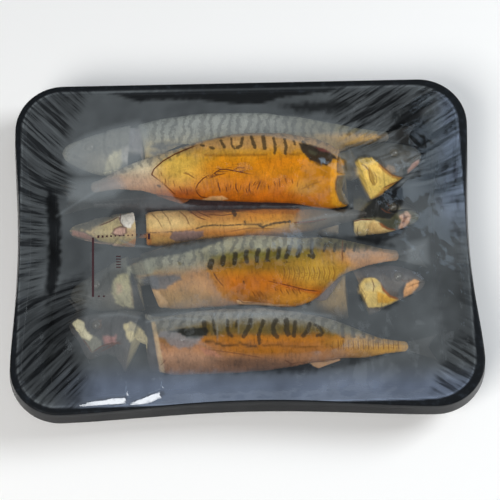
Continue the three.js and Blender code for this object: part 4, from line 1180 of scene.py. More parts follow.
# ---- The big mackerel on top -----------------------------------------------------------------
# The largest fish, on top of the far ones, with its head at the right. The film lies wet on
# its whole golden side, which shows each crease of the dried skin and the bars of the back.
big_fish = Fish(
    [(158, 80, 42), (126, 71, 43.5), (104, 62, 44), (80, 58, 44.5), (48, 67, 44.5), (0, 70, 44.5),
        (-59, 66, 43.5), (-97, 65, 40), (-134, 57, 36)],
    roll=4, size=1.02, head_cut=-1.5, body_cut=1, hollow=8, gape=1,
)
make_mackerel(
    "fish_2",
    big_fish,
    {
        "edge": (176, 100, 14), "belly": (190, 116, 8), "flank": (196, 132, 8), "band": (190, 138, 26),
        "back": (166, 132, 88), "head": (74, 72, 66), "head_back": (62, 62, 58), "tail": (186, 152, 124),
        "tail_back": (176, 166, 146), "fin": (110, 66, 34), "neck": (92, 84, 62), "eye": (66, 64, 58),
    },
    seed=21,
    mark_share=0.78,
    tints=[
        ((140, 168), (16, 9), (214, 206, 178), 2.5), ((98, 188), (10, 12), (128, 122, 116), 4.0),
        ((138, 182), (18, 7), (196, 160, 128), 2.0), ((110, 184), (14, 8), (150, 128, 118), 2.5),
        ((178, 168), (20, 13), (204, 178, 88), 3.0), ((246, 170), (36, 8), (188, 122, 4), 2.4),
        ((282, 162), (22, 6), (196, 122, 4), 2.5), ((256, 197), (60, 4), (178, 96, 2), 3.0),
        ((246, 143), (48, 5), (176, 138, 84), 4.0), ((225, 151), (30, 3), (176, 138, 56), 2.0),
        ((184, 194), (14, 5), (152, 72, 30), 2.5), ((306, 188), (12, 7), (200, 156, 62), 2.0),
        ((322, 180), (16, 14), (172, 116, 14), 3.0), ((336, 200), (10, 6), (208, 140, 20), 2.5),
    ],
    patches={
        "lateral line": ([(204, 154.2), (226, 154.6), (238, 153.4), (267, 153.2), (268, 156), (238, 156.4),
            (204, 156)], (134, 88, 18), 0.75, 0.8),
        "lateral line at the right": ([(286, 153.6), (302, 152.6), (303, 154.8), (287, 156)],
            (134, 88, 18), 0.7, 0.8),
        # Painted shade in the hollow behind the head, and a painted glint in it.
        "painted shade in the hollow of the back": ([(299, 143), (313, 145), (322, 148), (331, 152.5), (340, 161),
            (332, 162), (327, 165.5), (319, 165), (310, 160), (302, 152)], (34, 33, 31), 0.94, 0.9),
        "glint in the hollow": ([(319, 158), (325, 158.5), (326, 162.5), (321, 163)], (120, 134, 146), 0.8,
            0.8),
        "olive skin in the hollow": ([(309, 150), (317, 153), (316, 156), (309, 153)], (84, 84, 62), 0.6,
            1.2),
        "red lip of the hollow": ([(314, 146.5), (326, 149), (331, 153), (320, 151)], (120, 66, 62), 0.7,
            0.8),
        "pale scrap under the belly": ([(202, 199.5), (212, 196.5), (222, 196), (228, 199), (220, 201.5),
            (206, 202)], (214, 172, 118), 0.9, 0.8),
        "golden front edge": ([(332, 159), (343.5, 160), (344, 166), (340, 171), (337, 178), (336, 190),
            (339, 201), (344, 205), (353, 205), (353, 213), (343, 212), (332, 203), (330, 190),
            (330, 178)], (206, 146, 32), 0.85, 1.2),
        # The gill opening's grey is painted shade in the gap between head and body.
        "gill opening": ([(344, 165), (348, 158), (358, 160), (359, 205), (352, 206), (345, 205),
            (339, 201), (336, 193), (334.8, 184), (337, 176), (340, 170)], (96, 88, 68), 0.96, 0.8),
        "scrap in the gill opening": ([(344, 195), (346, 192.5), (349, 195), (352, 193), (355, 196),
            (359, 197), (355, 199), (349, 198)], (206, 176, 84), 0.85, 0.6),
        "yellow gill cover": ([(355.5, 162.4), (358.7, 159.9), (363.8, 158), (371.5, 158), (378.6, 163.1),
            (385.5, 169.5), (392.7, 175.3), (403, 177.8), (401, 181.7), (391.4, 189.4), (382.4, 194.5),
            (372.2, 199), (368.3, 196.4), (362.6, 186.8), (357.4, 174)], (218, 186, 96), 0.95, 0.8),
        "crack in the gill cover": ([(364, 165.5), (370.5, 168.5), (374, 175), (375.5, 183), (372.5, 186),
            (369.5, 178.5), (368, 171)], (150, 116, 44), 0.8, 0.9),
        "brown rim of the gill cover": ([(379, 163), (385.5, 169), (393, 175), (403, 177.5), (402, 180.5),
            (392, 178), (384, 172), (378, 166)], (150, 96, 30), 0.75, 1.0),
        "brown lower edge": ([(388, 184), (400, 181), (391, 189.4), (382, 195), (373, 199), (378, 193)],
            (164, 104, 26), 0.7, 1.5),
        "pale lower edge": ([(366, 188), (374, 190), (378, 193), (372, 199), (367, 195)], (224, 190, 104),
            0.8, 1.5),
        "dull top of the gill cover": ([(356, 160), (362, 158), (371, 158), (372, 162), (362, 164)],
            (150, 132, 76), 0.7, 1.5),
        "beige scrap behind the eye": ([(388, 164.4), (394, 166), (396, 172), (390, 173), (386, 169)],
            (140, 112, 80), 0.8, 1.0),
        # Painted shade in the hole at the corner of the jaw.
        "painted shade in the corner of the jaw": ([(403, 177.5), (402.5, 170), (407, 166), (408, 171), (406, 177)],
            (24, 28, 22), 0.9, 0.8),
        "pink jaw": ([(407, 177.5), (407.5, 170), (412, 164), (418, 160), (420, 165), (416, 172),
            (411, 177)], (172, 132, 116), 0.9, 1.0),
        "hazy top of the head": ([(372, 150), (392, 150), (412, 158), (402, 166), (392, 166), (380, 160)],
            (70, 70, 66), 0.7, 3.0),
    },
    marks=[
        ([(201.3, 145.2), (203.4, 145.6)], 1.2), ([(210.2, 147.6), (213.4, 148)], 1.3),
        ([(221, 140.6), (222.6, 144), (224.4, 147.2)], 1.4),
        ([(231, 138.5), (231.7, 145), (234.5, 148), (237, 148)], 1.0),
        ([(237, 147.8), (241, 145.6), (242.6, 138.4)], 1.5),
        ([(251.5, 137), (252.8, 141.5), (254.8, 147)], 1.7), ([(263, 137), (264, 142), (264.6, 148)], 1.9),
        ([(273.4, 138), (275.2, 145), (274.6, 153.4)], 1.3),
        ([(284.4, 139.5), (286.2, 147), (285.2, 153.6)], 1.5), ([(293.5, 140.5), (295, 144.5)], 1.1),
        ([(303, 142), (306, 145)], 1.5), ([(157, 185.4), (160, 186.2)], 0.9),
        ([(162, 182), (162.6, 184)], 0.3),
    ],
    creases=[
        ([(163, 183.5), (151.5, 174.5), (154, 169), (163, 161), (175, 154), (188, 148.5), (199, 144.6)],
            1.0), ([(163, 183.5), (170, 190), (176, 195.5)], 0.8),
        ([(208, 178.4), (216, 172), (220, 169.6), (226, 169.2), (238, 171.5), (252.4, 174.5)], 1.0),
        ([(208.5, 178.6), (216, 175.5), (226, 173)], 0.8),
        ([(195.5, 190), (197.5, 184.5), (203, 178.5), (210, 174.5)], 0.9),
        ([(195.5, 190), (198, 194), (201, 197), (208, 198)], 0.9),
        ([(183, 173), (189, 174.5), (195, 178.4)], 0.7), ([(235, 166.8), (243, 168), (244.6, 167)], 0.6),
        ([(218, 182), (218.6, 186), (220.6, 192.5)], 1.0), ([(226, 186), (227, 192)], 0.8),
        ([(231, 184), (230.4, 188)], 0.7), ([(236, 183), (235.8, 188), (238, 192.5)], 1.0),
        ([(241, 185), (240.5, 190)], 0.6), ([(246, 188), (247, 193)], 0.8),
        ([(250, 182), (249, 188), (250.5, 193)], 0.9), ([(256, 181), (253, 186)], 0.7),
        ([(261, 180), (258, 187), (257, 190)], 0.8), ([(268, 184), (269, 190)], 0.6),
        ([(274, 181), (275.5, 186)], 0.7), ([(279, 178), (280, 187)], 0.7),
        ([(285, 177), (287, 184)], 0.6), ([(292, 179), (293, 184)], 0.6), ([(298, 181), (297, 187)], 0.5),
        ([(306, 184), (309, 190)], 0.4), ([(161, 172), (162, 176)], 0.6), ([(165, 178), (166, 184)], 0.6),
        ([(173, 180), (175, 187)], 0.5), ([(179, 186), (182, 192)], 0.6), ([(186, 188), (188, 195)], 0.6),
        ([(184, 173), (187, 172)], 0.5), ([(300, 190), (312, 184), (322, 181)], 0.4),
        ([(359.4, 163.7), (365.1, 165.6), (369, 170.8), (369.6, 178.5), (373.5, 186.2)], 0.5),
        ([(372.2, 169.5), (376, 175.9), (376.7, 182.3), (373, 186.8)], 0.4),
        ([(378.6, 163.1), (385.5, 169.5), (392.7, 175.3), (403, 178)], 0.7),
        ([(383, 188), (392, 184), (399, 181)], 0.7),
        ([(343, 161), (341, 171), (336, 181), (336, 194)], 0.5),
    ],
    bars=0.5,
    bars_from=0.42,
    unbarred=[
        ([(150, 176), (199, 142), (262, 132), (345, 150), (350, 210), (170, 210)], 1),
    ],
)

# ---- The middle mackerel on top --------------------------------------------------------------
# A full fish on its side with its head at the left. Its rounded belly end reaches over the
# fish below it, and the film lies wet on its middle.
middle_fish = Fish(
    [(-151, -42, 35), (-122, -39, 37), (-90, -33, 41), (-52, -29, 44), (-5, -25, 44.5), (40, -22, 44.5),
        (76, -14, 42), (105, -12, 38), (134, -11, 33)],
    roll=5, size=0.97, head_cut=2.5, body_cut=4.5, bulges=[(0.68, 0.1, 11)],
)
make_mackerel(
    "fish_5",
    middle_fish,
    {
        "edge": (142, 90, 34), "belly": (172, 106, 22), "flank": (150, 100, 18), "band": (112, 92, 30),
        "back": (154, 150, 120), "head": (66, 66, 62), "tail": (190, 138, 92), "tail_back": (66, 60, 38),
        "fin": (92, 78, 72), "neck": (180, 156, 120), "eye": (60, 60, 58),
    },
    seed=51,
    tints=[
        ((176, 298), (34, 10), (156, 130, 84), 4.0), ((196, 284), (20, 7), (176, 138, 90), 3.0),
        ((250, 283), (26, 7), (170, 96, 0), 4.0), ((262, 267), (52, 4), (112, 88, 20), 3.0),
        ((240, 272), (30, 4), (176, 116, 20), 2.0), ((316, 270), (24, 11), (182, 150, 54), 3.5),
        ((300, 298), (22, 6), (196, 136, 44), 2.5), ((318, 293), (7, 5), (164, 92, 22), 2.5),
        ((370, 256), (26, 6), (178, 136, 96), 3.0), ((412, 252), (8, 10), (104, 96, 92), 4.0),
        ((396, 255), (6, 5), (96, 88, 52), 2.5), ((404, 253), (12, 5), (120, 96, 88), 3.0),
        ((170, 260), (34, 10), (150, 150, 134), 3.0), ((345, 243), (34, 6), (60, 58, 34), 3.0),
        ((260, 256), (50, 4), (104, 100, 40), 3.0),
    ],
    patches={
        "shade above the back": ([(122, 236), (226, 228), (223, 241), (215, 243.5), (201, 249),
            (186, 252.5), (164, 257), (146, 260.5), (128, 267)], (34, 36, 38), 0.92, 1.6),
        "dull back behind the head": ([(127, 267), (146, 259), (162, 256), (152, 274), (134, 276),
            (127, 275)], (138, 138, 120), 0.9, 1.5),
        # The gill opening's dark is painted shade in the gap between head and body.
        "gill opening": ([(130.5, 272), (136, 276.5), (141, 288), (149, 309), (134, 310), (132.5, 292)],
            (40, 41, 44), 0.95, 1.0),
        "breast fin": ([(137, 281), (148, 275.5), (160, 274.5), (180, 275), (182, 279), (172, 284),
            (166, 289), (156, 289.5), (146, 287)], (86, 88, 92), 0.9, 1.4),
        "pale gill cover": ([(112.8, 280.4), (120.8, 274), (128, 274), (130.4, 288.4), (132.8, 307.6),
            (124, 306), (116, 302.8), (112, 291.6)], (170, 164, 128), 0.9, 2.0),
        "pink spot on the gill cover": ([(116, 284), (122, 284), (122, 293), (117, 293)], (168, 140, 116),
            0.7, 2.0),
        "belly beside the gill opening": ([(143, 289), (150, 288.5), (158, 291), (168, 302), (165, 312),
            (151, 312)], (184, 150, 106), 0.95, 1.0),
        "root of the breast fin": ([(139, 280), (148, 277), (158, 277), (160, 289), (150, 289),
            (143, 289)], (92, 94, 98), 0.9, 1.0),
        "pale edge of the body": ([(135, 277), (140, 279), (154, 306), (150, 308), (146, 303)],
            (196, 184, 152), 0.8, 1.2),
        "crack over the belly": ([(276, 282.5), (290, 285), (306, 288.5), (321, 291), (319, 294.5),
            (304, 292), (288, 289)], (172, 92, 22), 0.75, 1.0),
        "pale line of the belly": ([(236, 300), (260, 303), (290, 305.5), (262, 307), (238, 304)],
            (206, 174, 136), 0.6, 1.0),
    },
    marks=[
        ([(211.6, 261.5), (210.2, 266.4)], 3.0), ([(223.6, 257), (222.6, 264.5)], 2.4),
        ([(235.6, 254), (234.4, 263.4)], 2.3), ([(246.6, 251.4), (245.8, 256), (247, 261.8)], 2.2),
        ([(258.6, 249.6), (256.8, 255.4), (257, 260.8)], 2.1),
        ([(268.6, 249.6), (267.4, 257), (266.8, 259.4)], 1.8),
        ([(279.4, 248.6), (278.4, 255), (277.6, 257.4)], 2.1),
        ([(289.4, 247), (288, 253), (286, 257)], 2.3), ([(300.4, 246.4), (299, 252), (297.4, 255.4)], 2.3),
        ([(311.6, 240), (311.6, 252), (313.6, 256.6)], 1.8), ([(309, 255.4), (313, 257.4)], 1.6),
        ([(213.6, 272.8), (215, 276), (218, 279)], 0.4), ([(243.6, 281), (244.4, 284)], 0.5),
        ([(275, 287.6), (276, 290)], 0.4),
        *[([(x + 1.5, 244), (x, 251)], 1.3) for x in (324, 334, 344, 354)],
        *[([(x, 262.5), (x + 8, 261.2)], 0.5) for x in (240, 262, 284)],
    ],
    creases=[
        ([(213, 272), (217, 279), (224, 287)], 0.7),
        ([(278, 283), (292, 286.5), (306, 290), (320, 291.5)], 0.9), ([(268, 281), (280, 283.5)], 0.6),
        ([(236, 298), (244, 303), (256, 303)], 0.6), ([(343, 238), (342, 252), (343, 262)], 0.7),
        *[([(x, 266), (x + 2, 273), (x, 281)], 0.5) for x in range(283, 338, 5)],
        *[([(x, 291), (x + 4, 297)], 0.6) for x in range(252, 262, 4)],
        *[([(x, 289), (x + 3, 294)], 0.6) for x in range(280, 300, 6)],
    ],
    bars=0.5,
    bars_from=0.22,
    unbarred=[
        ([(203, 268), (206, 258), (235, 251.5), (262, 247.5), (300, 245.5), (316, 246), (350, 250),
            (350, 300), (210, 300)], 1.5),
        ([(200, 290), (350, 290), (350, 266), (300, 262), (200, 272), (136, 276), (136, 300)], 1.5),
    ],
)

# ---- The near mackerel -----------------------------------------------------------------------
# The fish along the near wall, head at the left with its mouth open and the point of its gill
# cover hanging down. Its pink belly fades under the film, which creases over its back.
near_fish = Fish(
    [(-152, -67, 32), (-128, -73, 34), (-100, -79, 36), (-75, -88, 38), (-30, -87, 39), (39, -86, 39),
        (73, -87.5, 37), (105, -92, 33), (138, -92, 28)],
    roll=14, size=0.88, head_cut=1, body_cut=9, bulges=[(0.075, 0.03, 11), (0.2, 0.03, 8)],
)
make_mackerel(
    "fish_7",
    near_fish,
    # Its dark neck colour is painted shade in the gill opening.
    {
        "edge": (112, 82, 64), "belly": (142, 98, 66), "flank": (150, 92, 20), "band": (104, 84, 36),
        "back": (124, 122, 112), "head": (68, 66, 66), "tail": (180, 136, 62), "tail_back": (66, 66, 50),
        "fin": (158, 122, 86), "neck": (38, 40, 44), "eye": (62, 60, 60),
    },
    seed=71,
    mark_share=0.76,
    tints=[
        ((260, 329), (60, 5), (96, 82, 40), 3.0), ((262, 338.5), (60, 3), (170, 108, 24), 3.0),
        ((262, 351), (56, 5), (156, 98, 14), 3.5), ((186, 358), (28, 10), (176, 138, 110), 3.0),
        ((235, 363), (60, 5), (104, 72, 48), 3.0), ((312, 358), (24, 8), (170, 118, 74), 3.0),
        ((375, 343), (32, 6), (182, 138, 60), 3.5), ((375, 326), (34, 6), (84, 82, 62), 3.0),
    ],
    patches={
        "breast fin": ([(157, 337), (160, 331), (172, 331), (181, 329.5), (207, 329), (203, 338),
            (192, 347), (180, 348.5), (170, 345), (164, 338)], (118, 112, 112), 0.9, 1.3),
        # Painted shadow over the breast fin.
        "painted shadow over the breast fin": ([(168, 331.5), (181, 328.5), (196, 327.6), (206, 327.5), (209, 331),
            (206, 336), (196, 338.5), (188, 338), (183, 336), (181, 333.5)], (30, 32, 26), 0.95, 0.8),
        # The gill opening's dark is painted shade in the gap between head and body.
        "gill opening": ([(138, 314), (151, 321), (155, 342), (160.5, 375), (150, 378), (142, 350)],
            (44, 46, 52), 0.95, 1.0),
        "pale edge of the body": ([(151, 321), (155, 322), (159, 340), (165, 374), (160.5, 375),
            (155, 342)], (196, 170, 128), 0.75, 0.9),
        "brown shade of the belly": ([(216, 361), (240, 359), (262, 360), (280, 364), (262, 367),
            (232, 366)], (96, 66, 44), 0.55, 2.0),
        "lateral line": ([(205, 340.4), (214, 341.4), (222, 344), (231, 344), (240, 342.4), (248, 344.4),
            (257, 345), (257, 347.2), (247, 346.8), (240, 344.6), (231, 346.4), (222, 346.2), (213, 343.6),
            (205, 342.6)], (84, 54, 18), 0.9, 0.7),
        "lateral line at the right": ([(262, 344.8), (280, 344.4), (300, 346), (318, 346), (318, 347.6),
            (300, 348), (280, 346), (262, 346.4)], (104, 66, 20), 0.7, 0.8),
        "pink front of the belly": ([(199, 347), (214, 351), (222, 357), (206, 355)], (178, 120, 96), 0.6,
            1.2),
        "cream upper jaw": ([(72, 323.6), (77.6, 318.8), (84, 322), (85.6, 330), (92.8, 336.4),
            (90.4, 341.2), (82.4, 338), (77.6, 331.6)], (216, 208, 172), 0.95, 1.0),
        "dull lower jaw": ([(82.4, 338), (90, 341), (94, 336), (101.6, 341), (101.6, 346), (92, 352.4)],
            (126, 124, 108), 0.9, 1.2),
        "hanging gill cover": ([(123, 325), (130.4, 322), (140, 326.8), (147.2, 338), (146.4, 350.8),
            (144, 358.8), (138.4, 354), (132, 344.4), (127.2, 338)], (216, 202, 154), 0.92, 1.2),
        "pink mouth": ([(103, 336), (116, 336), (116, 344), (104, 344)], (160, 108, 100), 0.8, 2.0),
        "dull eye ring": ([(96.5, 321), (101, 320), (101, 328), (97, 328)], (120, 98, 84), 0.8, 1.2),
        "hazy top of the gill cover": ([(128, 322), (138, 325), (136, 332), (128, 331)], (120, 116, 106),
            0.6, 1.8),
    },
    marks=[
        ([(213, 320), (214, 327), (215.4, 334)], 1.3), ([(204, 322), (205, 330)], 2.2),
        ([(227.6, 320), (227.6, 329), (229, 334.5), (232, 336)], 1.6), ([(237, 321), (236, 327)], 1.2),
        ([(250.6, 320), (249.6, 326), (246, 332), (243.6, 336.4)], 2.2),
        ([(263.4, 321), (261, 328), (258.6, 335), (259.4, 343)], 1.7),
        ([(276, 320), (273, 326), (273.6, 333), (277, 336.5)], 2.3),
        ([(286.4, 320), (286.4, 329), (288, 334)], 2.6), ([(295, 322), (294.6, 329), (294, 336)], 1.9),
        ([(309.6, 324), (307.6, 331), (302.6, 336)], 2.0), ([(315, 324.5), (320, 328), (322.6, 333)], 1.5),
        ([(317, 335.4), (321, 335)], 1.6),
        *[([(x + 1, 320), (x - 1.2, 328), (x, 336.5)], 1.7) for x in (343.3, 353.7, 364)],
        *[([(x + 1, 324), (x - 1, 331), (x, 338)], 1.6) for x in (373, 382, 390)],
    ],
    creases=[
        *[([(x, 339), (x + 0.6, 350)], 0.6) for x in range(338, 400, 5)],
        ([(284, 360), (292, 364), (296, 363)], 0.6), ([(288, 366), (300, 362), (312, 366)], 0.4),
        ([(205, 349), (240, 354), (262, 358)], 0.5), ([(100, 352), (112, 346), (120, 341)], 0.7),
        ([(160, 366), (166, 360)], 0.5), ([(93, 352), (101, 346.5), (112, 343), (122, 344)], 0.9),
        ([(82, 338), (88, 346), (92, 352.5)], 0.7),
    ],
    bars=0.5,
    bars_from=0.35,
    unbarred=[
        ([(170, 340), (176, 328), (205, 320), (230, 317.5), (262, 316), (292, 317), (312, 321), (330, 332),
            (345, 340), (300, 356), (205, 350)], 1.5),
    ],
)

# ---- The film ------------------------------------------------------------------------------
# A clear film, sealed hot to the flange and drawn tight by the air taken out of the pack. It
# rests on the upper fish, wet and clear with oil where it touches, fogged where it hangs free,
# and it puckers into long creases at the corners.
FILM_EDGE_INSET = 0.0008
FILM_LIFT = 0.0002
FILM_SAG_5MM = 0.000006
FILM_COLUMNS = 330
FILM_CORNER_ROWS = 20
FILM_MIDDLE_ROWS = 205
VEIL = 0.30
FOLD_SLOPE = 0.00024
HAZE_GREY = (138, 145, 149)
# The blue of the sky's painted reflection in the fog.
SKY_REFLECTION_BLUE = (136, 149, 172)
SEAL_WIDTH = 0.0062
WIDE_SEAL = 0.0022
PLEAT_LEAN_RIGHT = 0.66
PLEAT_LEAN_LEFT = 1.0
PLEAT_LEAN_FULL = 0.09
PLEAT_STRETCH = 0.09
# Size of the net's squares in metres and rounds of stretching, from coarse to fine.
NET_ROUNDS = ((0.005, 900), (0.0025, 500), (0.00125, 260))
# Height and size of the film's smooth waves, and where they fade in from the seal.
WAVES = ((0.00012, 0.030, 3), (0.00003, 0.010, 4))
WAVES_FROM, WAVES_TO = 0.003, 0.009
FOLD_FAR_SIDE = 1.8
# The sky's painted reflection along the near wall and in the far right corner, by the photograph's pixels:
# the fog there is thicker and bluer.
NEAR_SKY_ROWS, NEAR_SKY_COLUMNS = (358, 388), (38, 104)
END_SKY_ROWS, END_SKY_COLUMNS = (188, 248), (430, 451)
NEAR_SKY_REFLECTION, END_SKY_REFLECTION, PLEAT_THINNING = 0.62, 0.25, 0.30
SEAL_FOG, SEAL_FOG_AT, SEAL_FOG_WIDTH = 0.20, 0.0003, 0.0007
# The glare's extra gloss, its ragged edge and the columns over which it fades in.
GLARE, GLARE_EDGE, GLARE_RAGGED, GLARE_COLUMNS, GLARE_LEAST = 0.5, (-0.9, 1.4), 0.5, (68, 104), 0.35


def fish_tops(pieces, cell):
    """The highest fish over each knot of a square net across the tray."""
    shape = (round(TRAY_WIDTH / cell) + 1, round(TRAY_LENGTH / cell) + 1)
    tops = np.full(shape, -1.0)
    for piece in pieces:
        points = vertex_places(piece.data)
        column = np.rint((points[:, 0] + TRAY_LENGTH / 2) / cell).astype(int)
        row = np.rint((points[:, 1] + TRAY_WIDTH / 2) / cell).astype(int)
        np.maximum.at(tops, (row, column), points[:, 2])
    return tops


def inside_rim(x, y, inset):
    radius = CORNER_RADIUS - inset
    over_x = np.maximum(np.abs(x) - (TRAY_LENGTH / 2 - inset - radius), 0)
    over_y = np.maximum(np.abs(y) - (TRAY_WIDTH / 2 - inset - radius), 0)
    return radius - np.hypot(over_x, over_y)


def net_value(net, cell, x, y):
    """The value between the knots of a net, at each x and y."""
    u = np.clip((x + TRAY_LENGTH / 2) / cell, 0, net.shape[1] - 1.001)
    v = np.clip((y + TRAY_WIDTH / 2) / cell, 0, net.shape[0] - 1.001)
    i, j = u.astype(int), v.astype(int)
    u, v = u - i, v - j
    low = net[j, i] * (1 - u) + net[j, i + 1] * u
    high = net[j + 1, i] * (1 - u) + net[j + 1, i + 1] * u
    return low * (1 - v) + high * v


def drape(pieces):
    """The film's height over a fine net: stretched level between the rim and the fish."""
    net, coarse = None, None
    for cell, rounds in NET_ROUNDS:
        tops = fish_tops(pieces, cell)
        y, x = np.indices(tops.shape) * cell
        x, y = x - TRAY_LENGTH / 2, y - TRAY_WIDTH / 2
        free = inside_rim(x, y, FLANGE_WIDTH + BOW["near"]) > 0
        rest = RIM_HEIGHT + FILM_LIFT
        net = np.full(tops.shape, rest) if net is None else net_value(net, coarse, x, y)
        sag = FILM_SAG_5MM * (cell / NET_ROUNDS[0][0]) ** 2
        for _ in range(rounds):
            around = (net[:-2, 1:-1] + net[2:, 1:-1] + net[1:-1, :-2] + net[1:-1, 2:]) / 4
            held = np.maximum(tops[1:-1, 1:-1] + FILM_LIFT, around - sag)
            net[1:-1, 1:-1] = np.where(free[1:-1, 1:-1], held, rest)
        coarse = cell
    return net, coarse


def bow_share(at, size):
    """How much of a side's bow is left at a distance from the middle of that side."""
    return np.maximum(np.cos(np.clip(at / size, -1, 1) * np.pi / 2), 0) ** BOW_POWER


def film_places():
    """The film's own net in plan: rows that end on the rounded, bowed outline of the flange."""
    reach = TRAY_WIDTH / 2 - FILM_EDGE_INSET
    radius = CORNER_RADIUS - FILM_EDGE_INSET
    straight = reach - radius
    turn = np.linspace(0, np.pi / 2, FILM_CORNER_ROWS + 1)
    low = -straight - radius * np.cos(turn)
    middle = np.linspace(-straight, straight, FILM_MIDDLE_ROWS)[1:-1]
    y = np.concatenate((low, middle, -low[::-1]))
    corner_in = radius * (1 - np.sin(turn))
    half = TRAY_LENGTH / 2 - FILM_EDGE_INSET - np.concatenate((corner_in, 0 * middle, corner_in[::-1]))
    left = -half + BOW["left"] * bow_share(y, TRAY_WIDTH / 2 - CORNER_RADIUS)
    right = half - BOW["right"] * bow_share(y, TRAY_WIDTH / 2 - CORNER_RADIUS)
    share = np.linspace(0, 1, FILM_COLUMNS + 1)
    x = left[:, None] + (right - left)[:, None] * share
    nearness = np.clip(-y / (TRAY_WIDTH / 2), 0, 1)[:, None]
    y = y[:, None] + BOW["near"] * nearness**2 * bow_share(x, TRAY_LENGTH / 2 - CORNER_RADIUS)
    return x, y


# Where the film lies wet and clear, by the photograph's pixels: outline, clearness, soft edge.
CLEAR_PATCHES = {
    "big fish": ([(151, 174), (156, 166), (163, 160), (175, 152.5), (189, 147), (199, 143.5), (212, 139.5),
        (225, 137.5), (245, 136), (262, 135.5), (275, 137), (300, 142), (322, 148), (337, 155), (347, 161),
        (347, 171), (342, 181), (342, 194), (346, 203), (353, 208.5), (344, 213.5), (325, 207.5),
        (300, 206), (260, 206), (199, 206), (185, 204), (176, 199), (163, 184)], 0.97, 0.8),
    "big fish's gill cover": ([(355, 161), (358, 156), (365, 154), (379, 157), (384, 164), (392, 173),
        (404, 178), (391, 190), (371, 199), (362, 184)], 0.9, 1.5),
    "rolled fish": ([(146, 208), (200, 206), (300, 206), (296, 222), (262, 232), (228, 238), (199, 242),
        (173, 247), (146, 247)], 0.75, 3),
    "rolled fish's throat": ([(102, 222), (119, 205), (138, 203), (142, 212), (133, 240), (120, 246),
        (97, 240)], 0.45, 3.5),
    "right fish's head": ([(362, 207), (372, 199), (402, 184), (404, 199), (397, 217), (379, 221),
        (357, 219)], 0.93, 2),
    "right fish's cheek": ([(352, 220), (379, 220), (398, 215), (412, 219), (398, 237), (377, 244),
        (357, 240)], 0.75, 2.5),
    "middle fish": ([(205, 264), (212, 256), (235, 252), (262, 249), (290, 248), (313, 249), (345, 251),
        (352, 262), (340, 276), (326, 287), (318, 297), (309, 304), (285, 307), (240, 305), (222, 296),
        (213, 284)], 0.97, 2.5),
    "lower fish's cheek": ([(358, 278), (372, 276), (384, 288), (397, 294), (398, 303), (386, 309),
        (370, 309), (360, 300)], 0.75, 3),
    "lower fish's jaw": ([(402, 290), (410, 278), (419, 277), (420, 284), (410, 296), (403, 298)], 0.6,
        2.5),
    "near fish's back": ([(176, 331), (190, 325), (205, 320.5), (230, 318.5), (260, 318), (290, 318.5),
        (310, 321), (324, 327), (333, 333), (345, 338), (343, 348), (300, 354), (250, 354), (215, 350),
        (204, 343), (198, 336), (184, 337)], 0.97, 1.6),
    "far wall": ([(108, 93), (180, 90), (260, 86), (345, 86), (330, 92), (280, 98), (262, 104), (235, 104),
        (200, 100), (150, 100), (140, 102)], 0.95, 1.5),
    "far wall at the right": ([(278, 106), (300, 103), (345, 101), (352, 106), (335, 112), (300, 112)],
        0.85, 3),
    "far right corner": ([(393, 112), (420, 106), (432, 130), (424, 158), (398, 150), (392, 130)], 0.85,
        6),
    "near left corner": ([(14, 300), (48, 300), (68, 328), (82, 352), (92, 372), (96, 392), (62, 408),
        (25, 400), (12, 360)], 0.32, 10),
    "right end": ([(438, 268), (472, 262), (478, 345), (442, 345)], 0.25, 8),
    "left wall": ([(47, 188), (57, 196), (61, 220), (61, 262), (57, 286), (50, 297), (45, 290), (48, 262),
        (48, 226), (46, 204)], 0.94, 2.5),
    "nearer left wall": ([(50, 292), (66, 280), (84, 276), (86, 300), (80, 328), (62, 345), (42, 345)],
        0.5, 6),
    "near fish's belly": ([(158, 335), (205, 345), (300, 352), (345, 347), (400, 344), (400, 351),
        (345, 368), (300, 373), (230, 372), (164, 372)], 0.75, 4),
    "middle fish's front": ([(150, 268), (205, 262), (215, 296), (160, 306)], 0.35, 5),
    "middle fish's back": ([(318, 234), (380, 238), (394, 246), (350, 251), (318, 249)], 0.6, 4),
    "middle fish's tail": ([(340, 262), (408, 250), (400, 258), (360, 275)], 0.4, 5),
}

# Where the film hangs highest and its fog is thickest: outline, share of fog and soft edge.
FOGGED_PATCHES = {
    "far fish's head": ([(60, 168), (64, 148), (84, 132), (112, 124), (140, 118), (152, 126), (152, 146),
        (141, 164), (118, 178), (80, 178)], 0.62, 9),
    "far fish's back": ([(140, 122), (200, 116), (290, 114), (360, 121), (405, 132), (395, 141),
        (340, 139), (262, 132), (200, 140), (152, 160), (140, 150)], 0.42, 5),
    "big fish's tail": ([(66, 178), (92, 174), (120, 172), (128, 188), (116, 200), (92, 204), (66, 202)],
        0.62, 9),
    "middle fish's head": ([(86, 250), (125, 236), (142, 244), (150, 256), (130, 270), (110, 276),
        (92, 296)], 0.38, 8),
    "far fish's tail": ([(374, 124), (398, 128), (400, 143), (376, 145)], 0.45, 5),
    "beyond the middle fish's tail": ([(404, 240), (430, 236), (432, 266), (404, 266)], 0.55, 8),
}

# Two smooth folds beside the seal that mirror the window: place, crest and width, in pixels.
FILM_FOLDS = [
    [(66, 408, 0.5), (90, 401, 5.5), (110, 398, 7), (126, 396.5, 7.5), (129, 396.5, 0.5)],
    [(123, 405, 0.5), (137, 399.5, 5.5), (148, 395.4, 8.5), (161, 391, 7.5), (166, 390.4, 0.5)],
]
# The film lies double along those folds and shines more there, by the same pixels.
DOUBLED = [
    [(69, 407), (84, 402), (98, 399.5), (112, 398), (127.5, 396.5), (126, 402.5), (118, 405), (92, 407)],
    [(126, 406.5), (136, 400.5), (147, 396), (155, 393), (163, 391), (165.5, 392), (163, 397.5),
        (152, 402), (140, 405)],
]

